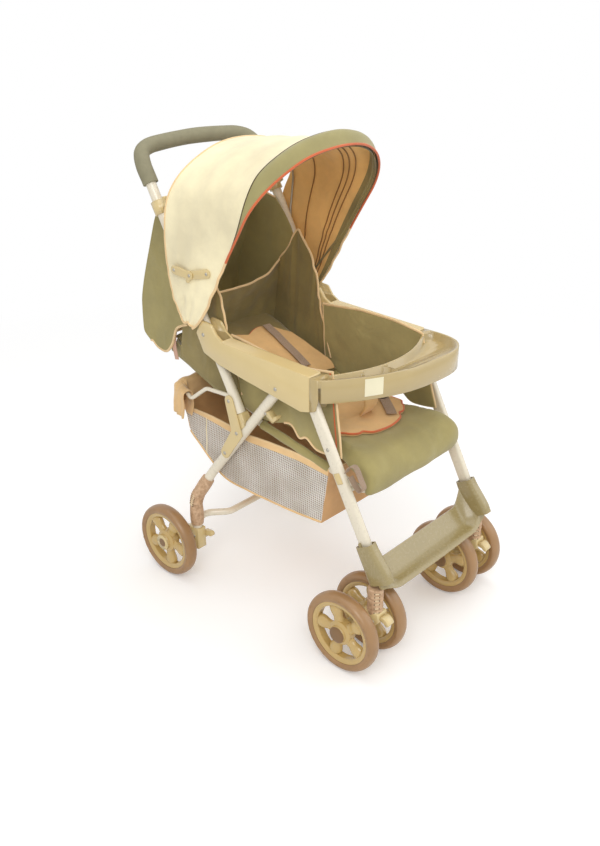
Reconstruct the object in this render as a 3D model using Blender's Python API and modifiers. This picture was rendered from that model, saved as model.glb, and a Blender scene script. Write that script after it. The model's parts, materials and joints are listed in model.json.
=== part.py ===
"""Folding pushchair with twin front castors, a tray, a canopy and a shopping basket.

Metres, +Z up. The child faces -Y and -X is the child's right. The origin is on the floor,
under the middle of the pushchair. Side profiles are given as (y, z) with y = 0 at the front
axle; place() moves them to the origin.
"""
import math

import bmesh
import bpy
from mathutils import Matrix, Vector

# Fits
GAP = 0.0003

# Wheels and axles
WHEEL_RADIUS = 0.0875
TYRE_WIDTH = 0.030
TYRE_DEPTH = 0.0175
RIM_WIDTH = 0.024
RIM_DEPTH = 0.0105
HUB_RADIUS = 0.024
HUB_LENGTH = 0.034
AXLE_RADIUS = 0.004
CAP_RADIUS = 0.0185
CAP_THICKNESS = 0.003
SPOKES = 5
SPOKE_NECK = 0.0095
SPOKE_BULB = 0.0135
CASTOR_TRACK = 0.360
CASTOR_PAIR = 0.092
CASTOR_TRAIL = 0.045
REAR_TRACK = 0.484
WHEELBASE = 0.518

# Frame
TUBE_RADIUS = 0.011
LEG_THICKNESS = 0.014
LEG_WIDTH = 0.026
FRAME_X = 0.170
FRONT_LEG_X = 0.176
REAR_STEM_X = 0.200
ARMREST_OUT = 0.188
ARMREST_IN = 0.152
WALL = 0.003
PLATE_THICKNESS = 0.004
SEAT_RAIL_X = 0.143
SEAT_RAIL_RADIUS = 0.007
BACK_RAIL_X = 0.129
BACK_RAIL_RADIUS = 0.006
SEAT_WIDTH = 0.276
SIDE_CLOTH_X = 0.1475

# Pivots and stations on the side profile, (y, z) with y = 0 at the front axle
FRONT_AXLE = (0.0, WHEEL_RADIUS)
REAR_AXLE = (WHEELBASE, WHEEL_RADIUS)
FRONT_LEG_PIVOT = (0.141, 0.561)
FRONT_LEG_FOOT = (-0.016, 0.270)
REAR_LEG_PIVOT = (0.2165, 0.543)
REAR_LEG_KNEE = (0.4315, 0.2725)
REAR_STEM_Y = 0.461
REAR_STEM_TOP = 0.205
REAR_STEM_FOOT = 0.1285
HANDLE_PIVOT = (0.4228, 0.606)
HANDLE_ANGLE = math.radians(60.9)
HANDLE_REACH = 0.413
HANDLE_TAIL = 0.180
HANDLE_BEND = 0.065
PLATE_TOP = (0.356, 0.474)
PLATE_MIDDLE = (0.335, 0.405)
PLATE_FOOT = (0.374, 0.345)
SEAT_PIVOT = (0.0405, 0.3729)
SEAT_SLOPE = math.radians(11.1)
SEAT_LENGTH = 0.277
BACK_ANGLE = math.radians(21.25)
BACK_LENGTH = 0.300
BACK_RAIL_LENGTH = 0.200
CANOPY_PIVOT = (0.450, 0.655)
STAY_REAR = (0.493, 0.733)
STAY_KNUCKLE = (0.446, 0.730)
STAY_FRONT = (0.397, 0.742)

# Soft parts and mouldings
CANOPY_TIP = (0.470, 0.605)
CANOPY_HALF_WIDTH = 0.190
CANOPY_CLOTH = 0.0025
CANOPY_FRONT_HEIGHT = 0.4567
CANOPY_REAR_HEIGHT = 0.3723
CANOPY_FRONT_ANGLE = 124.2
CANOPY_REAR_ANGLE = 87.7
CANOPY_LIP = 0.0297
CANOPY_SAG = 0.006
CANOPY_SHOULDER = 0.662
CANOPY_SIDE_SHARE = 0.45
CANOPY_CROWN_POWER = 0.959
HEAD_REAR_Y = 0.664
TRAY_TOP = 0.592
TRAY_DEPTH = 0.048
TRAY_SINK = 0.015
TRAY_FLOOR = TRAY_TOP - TRAY_SINK
TRAY_SKIRT = TRAY_TOP - TRAY_DEPTH
TRAY_SEAM = 0.127
TRAY_BELLY = 0.065
TRAY_FRONT = [
    (-0.187, 0.110), (-0.170, 0.091), (-0.142, 0.070), (-0.112, 0.051), (-0.075, 0.032), (-0.038, 0.017),
    (0.0, 0.008), (0.040, 0.003), (0.085, 0.001), (0.122, 0.004), (0.152, 0.015), (0.174, 0.036),
    (0.185, 0.066), (0.188, 0.095),
]
CUP_RADIUS = 0.033
CUP_PLACE = (-0.070, 0.047)
CUP_DEPTH = 0.041
CUP_FLOOR = TRAY_TOP - CUP_DEPTH
ARM_DROP = 0.072
FOOTREST_REAR = (-0.014, 0.222)
FOOTREST_FRONT = (-0.071, 0.192)
SOCKET_FLOOR = 0.192

# The origin is under the middle, between the front tyres and the cloth behind the head
MIDDLE_Y = (HEAD_REAR_Y - WHEEL_RADIUS) / 2


def place(x, point):
    """A point of the side profile at a distance x from the middle plane."""
    return Vector((x, point[0] - MIDDLE_Y, point[1]))


def along(point, angle, distance):
    """The point at a distance from another one, in a direction of the side profile."""
    return (point[0] + distance * math.cos(angle), point[1] + distance * math.sin(angle))


def clear_scene():
    for thing in list(bpy.data.objects):
        bpy.data.objects.remove(thing, do_unlink=True)


def collection(name):
    group = bpy.data.collections.new(name)
    bpy.context.scene.collection.children.link(group)
    return group


clear_scene()
PARTS = collection("pushchair")
CUTTERS = collection("cutters")


def material(name, colour, roughness, metallic=0.0):
    made = bpy.data.materials.new(name)
    made.use_nodes = True
    shader = made.node_tree.nodes["Principled BSDF"]
    shader.inputs["Base Color"].default_value = (*colour, 1.0)
    shader.inputs["Roughness"].default_value = roughness
    shader.inputs["Metallic"].default_value = metallic
    return made


ENAMEL = material("cream_enamel", (0.72, 0.66, 0.52), 0.30)
PLASTIC = material("beige_plastic", (0.66, 0.54, 0.32), 0.28)
OLIVE_PLASTIC = material("olive_plastic", (0.40, 0.32, 0.16), 0.32)
WHEEL_PLASTIC = material("wheel_plastic", (0.62, 0.45, 0.21), 0.25)
RUBBER = material("brown_tyre", (0.35, 0.21, 0.09), 0.45)
FOAM = material("grey_foam", (0.26, 0.25, 0.17), 0.70)
STEEL = material("steel", (0.60, 0.60, 0.60), 0.30, 1.0)
OLIVE_CLOTH = material("olive_cloth", (0.34, 0.30, 0.12), 0.85)
CREAM_CLOTH = material("cream_cloth", (0.90, 0.80, 0.55), 0.85)
TAN_CLOTH = material("tan_cloth", (0.74, 0.50, 0.24), 0.85)


def pivot(name, point, parent=None, x=0.0):
    """An empty on a joint's axis; the pieces that turn there are its children."""
    empty = bpy.data.objects.new(name, None)
    empty.empty_display_size = 0.02
    PARTS.objects.link(empty)
    spot = place(x, point)
    if parent is not None:
        empty.parent = parent
        empty["spot"] = list(spot)
        empty.location = spot - Vector(parent["spot"])
    else:
        empty["spot"] = list(spot)
        empty.location = spot
    return empty


def add(name, data, finish, owner=None):
    """Links an object whose data is in world places, and puts its origin on its owner's axis."""
    thing = bpy.data.objects.new(name, data)
    if finish is not None:
        data.materials.clear()
        data.materials.append(finish)
    PARTS.objects.link(thing)
    if owner is not None:
        data.transform(Matrix.Translation(-Vector(owner["spot"])))
        thing.parent = owner
    return thing


def helper(name, data):
    thing = bpy.data.objects.new(name, data)
    CUTTERS.objects.link(thing)
    thing.hide_render = True
    thing.display_type = "WIRE"
    return thing


def smooth(mesh, degrees=35):
    mesh.shade_smooth()
    mesh.set_sharp_from_angle(angle=math.radians(degrees))
    return mesh


def evaluated(thing):
    """The object's shape with its modifiers, as one welded mesh in world places."""
    graph = bpy.context.evaluated_depsgraph_get()
    mesh = bpy.data.meshes.new_from_object(thing.evaluated_get(graph))
    mesh.transform(thing.matrix_world)
    work = bmesh.new()
    work.from_mesh(mesh)
    bmesh.ops.remove_doubles(work, verts=work.verts, dist=1e-6)
    bmesh.ops.recalc_face_normals(work, faces=work.faces)
    work.to_mesh(mesh)
    work.free()
    return mesh


def settle(thing):
    """Replaces a helper by its plain mesh."""
    bpy.context.view_layer.update()
    mesh = evaluated(thing)
    bpy.data.objects.remove(thing, do_unlink=True)
    return mesh


def combine(name, base, others=(), cuts=()):
    """One mesh: base joined with the others, and then cut."""
    body = helper(name + "_base", base)
    for number, other in enumerate(others):
        step = body.modifiers.new("join", "BOOLEAN")
        step.operation = "UNION"
        step.object = helper(f"{name}_join_{number}", other)
    for number, cut in enumerate(cuts):
        step = body.modifiers.new("cut", "BOOLEAN")
        step.operation = "DIFFERENCE"
        step.object = helper(f"{name}_cut_{number}", cut)
    return smooth(settle(body))


def box(low, high):
    """A box between two corners, each (x, y of the profile, z)."""
    mesh = bpy.data.meshes.new("box")
    work = bmesh.new()
    bmesh.ops.create_cube(work, size=1.0)
    first = place(low[0], low[1:])
    last = place(high[0], high[1:])
    size = last - first
    bmesh.ops.scale(work, vec=size, verts=work.verts)
    bmesh.ops.translate(work, vec=(first + last) / 2, verts=work.verts)
    work.to_mesh(mesh)
    work.free()
    return mesh


def rod(start, end, radius, radius_end=None, segments=20):
    """A cylinder or cone between two world points."""
    start = Vector(start)
    end = Vector(end)
    mesh = bpy.data.meshes.new("rod")
    work = bmesh.new()
    bmesh.ops.create_cone(
        work,
        cap_ends=True,
        segments=segments,
        radius1=radius,
        radius2=radius if radius_end is None else radius_end,
        depth=(end - start).length,
    )
    turn = (end - start).to_track_quat("Z", "Y").to_matrix().to_4x4()
    bmesh.ops.transform(work, matrix=Matrix.Translation((start + end) / 2) @ turn, verts=work.verts)
    work.to_mesh(mesh)
    work.free()
    return mesh


def rounded(points, radius, steps=4):
    """A polyline with each inner corner replaced by an arc."""
    points = [Vector(p) for p in points]
    path = [points[0]]
    for before, corner, after in zip(points, points[1:], points[2:]):
        back = (before - corner).normalized()
        ahead = (after - corner).normalized()
        half = back.angle(ahead) / 2
        reach = radius / math.tan(half)
        reach = min(reach, 0.48 * (before - corner).length, 0.48 * (after - corner).length)
        size = reach * math.tan(half)
        centre = corner + (back + ahead).normalized() * (size / math.sin(half))
        first = (corner + back * reach - centre).normalized()
        last = (corner + ahead * reach - centre).normalized()
        for step in range(steps + 1):
            path.append(centre + first.slerp(last, step / steps) * size)
    path.append(points[-1])
    return path


def wire(name, points, radius, sides=4, caps=True):
    """A round bar or tube along world points, as a curve."""
    curve = bpy.data.curves.new(name, "CURVE")
    curve.dimensions = "3D"
    curve.bevel_depth = radius
    curve.bevel_resolution = sides
    curve.use_fill_caps = caps
    line = curve.splines.new("POLY")
    line.points.add(len(points) - 1)
    for knot, point in zip(line.points, points):
        knot.co = (*point, 1.0)
    return curve


def wire_mesh(name, points, radius, sides=4, caps=True):
    return settle(helper(name, wire(name, points, radius, sides, caps)))


def outline_curve(name, outline, half):
    curve = bpy.data.curves.new(name, "CURVE")
    curve.dimensions = "2D"
    curve.fill_mode = "BOTH"
    curve.extrude = half
    line = curve.splines.new("POLY")
    line.points.add(len(outline) - 1)
    for knot, point in zip(line.points, outline):
        knot.co = (*point, 0.0, 1.0)
    line.use_cyclic_u = True
    return curve


SIDEWAYS = Matrix(((0, 0, 1, 0), (1, 0, 0, 0), (0, 1, 0, 0), (0, 0, 0, 1)))


def slab(outline, x_low, x_high):
    """A flat piece from a side outline of (y, z) points, between two distances from the middle."""
    shifted = [(y - MIDDLE_Y, z) for y, z in outline]
    thing = helper("slab", outline_curve("slab", shifted, abs(x_high - x_low) / 2))
    thing.matrix_world = Matrix.Translation(((x_low + x_high) / 2, 0, 0)) @ SIDEWAYS
    return settle(thing)


def deck(outline, z_low, z_high):
    """A flat piece from a plan outline of (x, y) points, between two heights."""
    shifted = [(x, y - MIDDLE_Y) for x, y in outline]
    thing = helper("deck", outline_curve("deck", shifted, (z_high - z_low) / 2))
    thing.location = (0, 0, (z_low + z_high) / 2)
    return settle(thing)


def ribbon(points, radii, steps=6):
    """The outline of a band of changing half-width round a few points, with round ends."""
    left = []
    right = []
    for index, point in enumerate(points):
        before = points[max(index - 1, 0)]
        after = points[min(index + 1, len(points) - 1)]
        heading = math.atan2(after[1] - before[1], after[0] - before[0])
        left.append(along(point, heading + math.pi / 2, radii[index]))
        right.append(along(point, heading - math.pi / 2, radii[index]))
    first = math.atan2(points[1][1] - points[0][1], points[1][0] - points[0][0])
    last = math.atan2(points[-1][1] - points[-2][1], points[-1][0] - points[-2][0])
    end = [along(points[-1], last + math.pi / 2 - math.pi * s / steps, radii[-1]) for s in range(1, steps)]
    start = [along(points[0], first - math.pi / 2 - math.pi * s / steps, radii[0]) for s in range(1, steps)]
    return left + end + right[::-1] + start


def arc(centre, radius, start, end, steps):
    """Points of an arc, angles in degrees."""
    angles = [math.radians(start + (end - start) * s / steps) for s in range(steps + 1)]
    return [along(centre, angle, radius) for angle in angles]


def turned(profile, segments):
    """A ring turned round the X axis from a closed profile of (radius, x) points."""
    curve = bpy.data.curves.new("profile", "CURVE")
    curve.dimensions = "3D"
    line = curve.splines.new("POLY")
    line.points.add(len(profile) - 1)
    for knot, (radius, x) in zip(line.points, profile):
        knot.co = (x, 0.0, radius, 1.0)
    line.use_cyclic_u = True
    thing = helper("turned", curve)
    screw = thing.modifiers.new("screw", "SCREW")
    screw.axis = "X"
    screw.steps = segments
    screw.render_steps = segments
    screw.use_merge_vertices = True
    screw.merge_threshold = 1e-5
    screw.use_normal_calculate = True
    return settle(thing)


def bevelled(mesh, width, segments=1, angle=30):
    thing = helper("bevelled", mesh)
    step = thing.modifiers.new("bevel", "BEVEL")
    step.width = width
    step.segments = segments
    step.limit_method = "ANGLE"
    step.angle_limit = math.radians(angle)
    return smooth(settle(thing))


def sheet(across, down, place_at, thickness, offset=0.0, subdivide=0):
    """A shell: a grid whose points follow place_at(u, v), thickened."""
    mesh = bpy.data.meshes.new("sheet")
    work = bmesh.new()
    bmesh.ops.create_grid(work, x_segments=across, y_segments=down, size=1.0)
    for vert in work.verts:
        vert.co = place_at((vert.co.x + 1) / 2, (vert.co.y + 1) / 2)
    bmesh.ops.recalc_face_normals(work, faces=work.faces)
    work.to_mesh(mesh)
    work.free()
    thing = helper("sheet", mesh)
    solid = thing.modifiers.new("thickness", "SOLIDIFY")
    solid.thickness = thickness
    solid.offset = offset
    solid.use_even_offset = True
    if subdivide:
        soft = thing.modifiers.new("soft", "SUBSURF")
        soft.levels = subdivide
        soft.render_levels = subdivide
    return smooth(settle(thing), 50)


def copy_at(mesh, matrix):
    twin = mesh.copy()
    twin.transform(matrix)
    return twin


SIDES = (("right", -1), ("left", 1))
RIM_RADIUS = WHEEL_RADIUS - TYRE_DEPTH
BORE_RADIUS = AXLE_RADIUS + GAP


def wheel_mesh():
    """Rim, hub and five bulbous spokes, round the X axis at the origin."""
    half = RIM_WIDTH / 2
    inner = RIM_RADIUS - RIM_DEPTH
    rim = turned([(RIM_RADIUS, -half), (RIM_RADIUS, half), (inner, half * 0.75), (inner, -half * 0.75)], 36)
    half_hub = HUB_LENGTH / 2
    waist = HUB_RADIUS - 0.004
    hub = turned(
        [
            (waist, -half_hub),
            (HUB_RADIUS, -half_hub + 0.005),
            (HUB_RADIUS, half_hub - 0.005),
            (waist, half_hub),
            (BORE_RADIUS, half_hub),
            (BORE_RADIUS, -half_hub),
        ],
        16,
    )
    spoke_end = inner + RIM_DEPTH * 0.4
    stations = (
        (HUB_RADIUS * 0.7, SPOKE_NECK * 0.9),
        (HUB_RADIUS + 0.004, SPOKE_NECK),
        (inner - 0.017, SPOKE_BULB),
        (inner - 0.007, SPOKE_BULB * 0.95),
        (spoke_end, SPOKE_NECK * 0.55),
    )
    spokes = []
    for number in range(SPOKES):
        turn = Matrix.Rotation(math.tau * number / SPOKES, 4, "X")
        path = [Vector((0, 0, reach)) for reach, size in stations]
        curve = wire("spoke", path, 1.0, 2)
        for knot, (reach, size) in zip(curve.splines[0].points, stations):
            knot.radius = size
        spokes.append(copy_at(settle(helper("spoke", curve)), turn @ Matrix.Scale(0.85, 4, (1, 0, 0))))
    return combine("wheel", rim, [hub] + spokes)


def tyre_mesh():
    half = TYRE_WIDTH / 2
    inner = RIM_RADIUS + GAP
    profile = [(inner, -half * 0.8), (inner + TYRE_DEPTH * 0.45, -half), (WHEEL_RADIUS - 0.002, -half * 0.6)]
    profile += [(WHEEL_RADIUS, 0.0)]
    profile += [(radius, -x) for radius, x in reversed(profile[:3])]
    return smooth(turned(profile, 36), 60)


def wheel_set(name, x, axle, owner, wheel, tyre):
    """A wheel and its tyre on one spin axis."""
    spin = pivot(name + "_spin", axle, owner, x)
    for part, source, finish in (("wheel", wheel, WHEEL_PLASTIC), ("tyre", tyre, RUBBER)):
        thing = bpy.data.objects.new(name.replace("wheel", part), source)
        source.materials.clear()
        source.materials.append(finish)
        PARTS.objects.link(thing)
        thing.parent = spin


def leg_direction():
    rise = (FRONT_LEG_PIVOT[0] - FRONT_LEG_FOOT[0], FRONT_LEG_PIVOT[1] - FRONT_LEG_FOOT[1])
    return math.atan2(rise[1], rise[0])


def leg_outline(half_width, top, foot):
    """The front leg's side outline, from a distance above its pivot to a distance below its foot."""
    angle = leg_direction()
    upper = along(FRONT_LEG_PIVOT, angle, top)
    lower = along(FRONT_LEG_FOOT, angle, -foot)
    square = angle + math.pi / 2
    return [
        along(upper, square, half_width),
        along(lower, square, half_width),
        along(lower, square, -half_width),
        along(upper, square, -half_width),
    ]


def front_legs(owner):
    for side, sign in SIDES:
        low = sign * FRONT_LEG_X - LEG_THICKNESS / 2
        high = sign * FRONT_LEG_X + LEG_THICKNESS / 2
        leg = bevelled(slab(leg_outline(LEG_WIDTH / 2, 0.010, 0.050), low, high), 0.004, 2)
        add(f"front_leg_{side}", leg, ENAMEL, owner)


def footrest(owner):
    """A socket round each leg's foot, joined by a hollow curved step."""
    angle = leg_direction()
    square = angle + math.pi / 2
    collar = along(FRONT_LEG_FOOT, angle, 0.004)
    wide = LEG_WIDTH / 2 + WALL + 0.001
    outline = [
        along(collar, square, wide),
        (FOOTREST_FRONT[0] + 0.010, SOCKET_FLOOR + 0.016),
        (FOOTREST_FRONT[0] + 0.016, SOCKET_FLOOR),
        (-CASTOR_TRAIL + 0.021, SOCKET_FLOOR),
        (-CASTOR_TRAIL + 0.026, SOCKET_FLOOR + 0.014),
        along(collar, square, -wide),
    ]
    run = FOOTREST_FRONT[0] - FOOTREST_REAR[0]
    fall = FOOTREST_FRONT[1] - FOOTREST_REAR[1]
    reach = FRONT_LEG_X - LEG_THICKNESS / 2 + 0.001

    def step(u, v):
        x = (2 * u - 1) * reach
        lift = 0.020 * abs(2 * u - 1) ** 5
        hollow = -0.012 * math.sin(math.pi * v)
        lip = -0.004 * max(0.0, v - 0.8) / 0.2
        bow = -0.003 * (1 - (2 * u - 1) ** 2) * v
        return place(x, (FOOTREST_REAR[0] + run * v + bow, FOOTREST_REAR[1] + fall * v + lift + hollow + lip))

    plate = sheet(15, 6, step, 0.006)
    sockets = []
    pockets = []
    clear = LEG_WIDTH / 2 + GAP
    for side, sign in SIDES:
        low = sign * FRONT_LEG_X - LEG_THICKNESS / 2 - WALL - GAP
        high = sign * FRONT_LEG_X + LEG_THICKNESS / 2 + WALL + GAP
        sockets.append(bevelled(slab(outline, low, high), 0.003, 1))
        pocket = slab(leg_outline(clear, 0.010, 0.0505), low + WALL, high - WALL)
        pockets.append(pocket)
    body = combine("footrest", plate, sockets, pockets)
    add("footrest", body, OLIVE_PLASTIC, owner)


def castor(side, sign, owner, wheel, tyre):
    """A swivelling housing with its kingpin sleeve, its axle, its lock and two wheels."""
    x = sign * CASTOR_TRACK / 2
    stem_y = -CASTOR_TRAIL
    swivel = pivot(f"castor_{side}_swivel", (stem_y, SOCKET_FLOOR), owner, x)
    cheek = 0.015
    outline = [(stem_y - 0.018, 0.140), (stem_y + 0.018, 0.140), (0.008, 0.1025)]
    outline += arc(FRONT_AXLE, 0.014, 45, -100, 6)
    outline += [(stem_y - 0.006, 0.104), (stem_y - 0.020, 0.122)]
    block = bevelled(slab(outline, x - cheek, x + cheek), 0.004, 1, 40)
    inner_hub = CASTOR_PAIR / 2 - HUB_LENGTH / 2 - GAP
    barrel = rod(place(x - inner_hub, FRONT_AXLE), place(x + inner_hub, FRONT_AXLE), 0.0125)
    stem = rod(place(x, (stem_y, 0.130)), place(x, (stem_y, SOCKET_FLOOR - GAP)), 0.013, 0.0135)
    span = CASTOR_PAIR / 2 + HUB_LENGTH / 2 + 0.02
    bore = rod(place(x - span, FRONT_AXLE), place(x + span, FRONT_AXLE), BORE_RADIUS, segments=16)
    housing = combine("castor_housing", block, [barrel, stem], [bore])
    add(f"castor_housing_{side}", housing, PLASTIC, swivel)

    end = CASTOR_PAIR / 2 + HUB_LENGTH / 2 + GAP
    bar = rod(place(x - end - 0.001, FRONT_AXLE), place(x + end + 0.001, FRONT_AXLE), AXLE_RADIUS, segments=16)
    caps = []
    for way in (-1, 1):
        start = place(x + way * end, FRONT_AXLE)
        caps.append(rod(start, place(x + way * (end + CAP_THICKNESS), FRONT_AXLE), CAP_RADIUS, segments=24))
    add(f"castor_axle_{side}", combine("castor_axle", bar, caps), STEEL, swivel)

    hinge = (stem_y - 0.0260, 0.1300)
    lock = pivot(f"castor_{side}_lock", hinge, swivel, x)
    lever = ribbon([hinge, (hinge[0] - 0.006, hinge[1] - 0.002), (hinge[0] - 0.011, hinge[1] - 0.007)],
                   [0.006, 0.005, 0.0045])
    add(f"castor_lock_{side}", bevelled(slab(lever, x - 0.010, x + 0.010), 0.002, 1), PLASTIC, lock)

    for place_name, way in (("outer", sign), ("inner", -sign)):
        name = f"front_wheel_{side}_{place_name}"
        wheel_set(name, x + way * CASTOR_PAIR / 2, FRONT_AXLE, swivel, wheel, tyre)


def rear_frame(owner, wheel, tyre):
    """Bent rear legs, the bar between them, and the brackets that carry the rear wheels."""
    fall = math.atan2(REAR_LEG_KNEE[1] - REAR_LEG_PIVOT[1], REAR_LEG_KNEE[0] - REAR_LEG_PIVOT[0])
    for side, sign in SIDES:
        head = along(REAR_LEG_PIVOT, fall, -0.010)
        path = rounded(
            [
                place(sign * FRAME_X, head),
                place(sign * FRAME_X, REAR_LEG_KNEE),
                place(sign * REAR_STEM_X, (REAR_STEM_Y, REAR_STEM_TOP)),
                place(sign * REAR_STEM_X, (REAR_STEM_Y, REAR_STEM_FOOT)),
            ],
            0.06,
        )
        add(f"rear_leg_{side}", wire("rear_leg", path, TUBE_RADIUS), ENAMEL, owner)
        rear_corner(side, sign, owner, wheel, tyre)
        fold_catch(side, sign, owner, fall)
    end = REAR_STEM_X - TUBE_RADIUS - GAP
    height = 0.150
    bar = rounded(
        [
            place(-end, (REAR_STEM_Y, height)),
            place(-end + 0.022, (REAR_STEM_Y, height)),
            place(-end + 0.060, (REAR_STEM_Y - 0.034, height)),
            place(end - 0.060, (REAR_STEM_Y - 0.034, height)),
            place(end - 0.022, (REAR_STEM_Y, height)),
            place(end, (REAR_STEM_Y, height)),
        ],
        0.03,
        3,
    )
    add("rear_cross_bar", wire("rear_cross_bar", bar, 0.008), ENAMEL, owner)


def rear_corner(side, sign, owner, wheel, tyre):
    """Bracket with its stub axle, brake lever and wheel."""
    low = sign * (REAR_STEM_X - 0.012)
    high = sign * (REAR_STEM_X + 0.012)
    top = REAR_STEM_FOOT - GAP
    outline = [(REAR_STEM_Y - 0.014, top), (REAR_STEM_Y + 0.016, top), (REAR_AXLE[0], WHEEL_RADIUS + 0.018)]
    outline += arc(REAR_AXLE, 0.015, 60, -110, 6)
    outline += [(REAR_STEM_Y + 0.006, 0.070), (REAR_STEM_Y - 0.014, 0.076)]
    block = bevelled(slab(outline, min(low, high), max(low, high)), 0.003, 1, 40)
    centre = REAR_TRACK / 2
    hub_in = centre - HUB_LENGTH / 2 - GAP
    hub_out = centre + HUB_LENGTH / 2 + GAP
    collar = rod(place(sign * REAR_STEM_X, REAR_AXLE), place(sign * hub_in, REAR_AXLE), 0.010, segments=16)
    stub = rod(place(sign * (hub_in - 0.002), REAR_AXLE), place(sign * (hub_out + 0.001), REAR_AXLE),
               AXLE_RADIUS, segments=16)
    cap = rod(place(sign * hub_out, REAR_AXLE), place(sign * (hub_out + CAP_THICKNESS), REAR_AXLE),
              CAP_RADIUS, segments=24)
    add(f"rear_bracket_{side}", combine("rear_bracket", block, [collar, stub, cap]), PLASTIC, owner)
    wheel_set(f"rear_wheel_{side}", sign * centre, REAR_AXLE, owner, wheel, tyre)

    hinge = (REAR_STEM_Y - 0.002, 0.100)
    brake = pivot(f"brake_{side}", hinge, owner, sign * REAR_STEM_X)
    inner = REAR_STEM_X - 0.012 - GAP
    lever = ribbon([hinge, (hinge[0] - 0.010, hinge[1] + 0.010), (hinge[0] - 0.026, hinge[1] + 0.012)],
                   [0.009, 0.007, 0.006])
    x_near = sign * (inner - 0.010)
    x_far = sign * inner
    piece = bevelled(slab(lever, min(x_near, x_far), max(x_near, x_far)), 0.002, 1)
    add(f"brake_lever_{side}", piece, PLASTIC, brake)


def fold_catch(side, sign, owner, fall):
    """A small hook screwed to the inner front of the rear leg, which holds the folded frame."""
    middle = along(REAR_LEG_PIVOT, fall, 0.075)
    out = fall - math.pi / 2
    start = along(middle, out, TUBE_RADIUS + GAP + 0.006)
    bend = along(start, out, 0.018)
    tip = along(bend, fall + math.pi, 0.012)
    hook = ribbon([start, bend, tip], [0.006, 0.005, 0.004])
    x = sign * FRAME_X
    add(f"fold_catch_{side}", bevelled(slab(hook, x - 0.008, x + 0.008), 0.0015, 1), PLASTIC, owner)


ARMREST_OUTLINE = [
    (0.127, 0.594), (0.366, 0.602), (0.385, 0.613), (0.400, 0.633), (0.428, 0.636), (0.446, 0.606),
    (0.425, 0.566), (0.381, 0.550), (0.300, 0.536), (0.217, 0.524), (0.150, 0.514), (0.127, 0.520),
]


def armrests():
    """Each armrest is a shell, open below, forked at its rear for the push handle's tube."""
    for side, sign in SIDES:
        def across(low, high):
            return (min(sign * low, sign * high), max(sign * low, sign * high))

        shell = bevelled(slab(ARMREST_OUTLINE, *across(ARMREST_IN, ARMREST_OUT)), 0.003, 2, 30)
        cavity_outline = [(0.10, 0.590), (0.130, 0.591), (0.366, 0.599), (0.374, 0.599), (0.374, 0.48), (0.10, 0.48)]
        cavity = slab(cavity_outline, *across(ARMREST_IN + WALL, ARMREST_OUT - WALL))
        half_slot = TUBE_RADIUS + GAP
        slot = slab([(0.370, 0.70), (0.370, 0.48), (0.50, 0.48), (0.50, 0.70)],
                    *across(FRAME_X - half_slot, FRAME_X + half_slot))
        bosses = []
        for point, inner, outer in (
            (REAR_LEG_PIVOT, FRAME_X - half_slot, FRAME_X + half_slot),
            (FRONT_LEG_PIVOT, FRONT_LEG_X - LEG_THICKNESS / 2 - GAP, FRONT_LEG_X + LEG_THICKNESS / 2 + GAP),
        ):
            bosses.append(rod(place(sign * (ARMREST_IN + WALL / 2), point), place(sign * inner, point), 0.008))
            bosses.append(rod(place(sign * outer, point), place(sign * (ARMREST_OUT - WALL / 2), point), 0.008))
        hollow = combine("armrest_hollow", cavity, (), bosses)
        add(f"armrest_{side}", combine("armrest", shell, (), [hollow, slot]), PLASTIC)


def offset(outline, inset):
    """A closed outline moved inwards by a distance."""
    area = sum(p[0] * q[1] - q[0] * p[1] for p, q in zip(outline, outline[1:] + outline[:1]))
    way = math.copysign(inset, area)
    moved = []
    for before, here, after in zip(outline[-1:] + outline[:-1], outline, outline[1:] + outline[:1]):
        first = (Vector(here) - Vector(before)).normalized()
        second = (Vector(after) - Vector(here)).normalized()
        middle = (first + second).normalized()
        stretch = 1.0 / max(0.5, middle.dot(first))
        moved.append((here[0] - middle.y * way * stretch, here[1] + middle.x * way * stretch))
    return moved


def flowing(points, steps):
    """More points along a smooth curve through the given ones."""
    curve = []
    padded = [points[0]] + points + [points[-1]]
    for p, q, r, s in zip(padded, padded[1:], padded[2:], padded[3:]):
        p, q, r, s = Vector(p), Vector(q), Vector(r), Vector(s)
        for step in range(steps):
            t = step / steps
            spot = 0.5 * (2 * q + (r - p) * t + (2 * p - 5 * q + 4 * r - s) * t * t + (3 * q - p - 3 * r + s) * t ** 3)
            curve.append(tuple(spot))
    curve.append(tuple(points[-1]))
    return curve


def tray_outline(inset):
    """The tray's plan: a full front, and a rear edge hollowed for the child."""
    rear = TRAY_SEAM - GAP
    front = flowing([(-ARMREST_OUT, rear)] + TRAY_FRONT + [(ARMREST_OUT, rear)], 2)
    belly = [(ARMREST_IN, rear)]
    reach = ARMREST_IN - 0.010
    for step in range(13):
        x = reach * (1 - step / 6)
        belly.append((x, TRAY_BELLY + (rear - 0.022 - TRAY_BELLY) * abs(x / reach) ** 2))
    belly.append((-ARMREST_IN, rear))
    return offset(front + belly, inset)


def common(name, first, second):
    """The space that two meshes share."""
    body = helper(name + "_base", first)
    step = body.modifiers.new("common", "BOOLEAN")
    step.operation = "INTERSECT"
    step.object = helper(name + "_limit", second)
    return smooth(settle(body))


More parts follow.
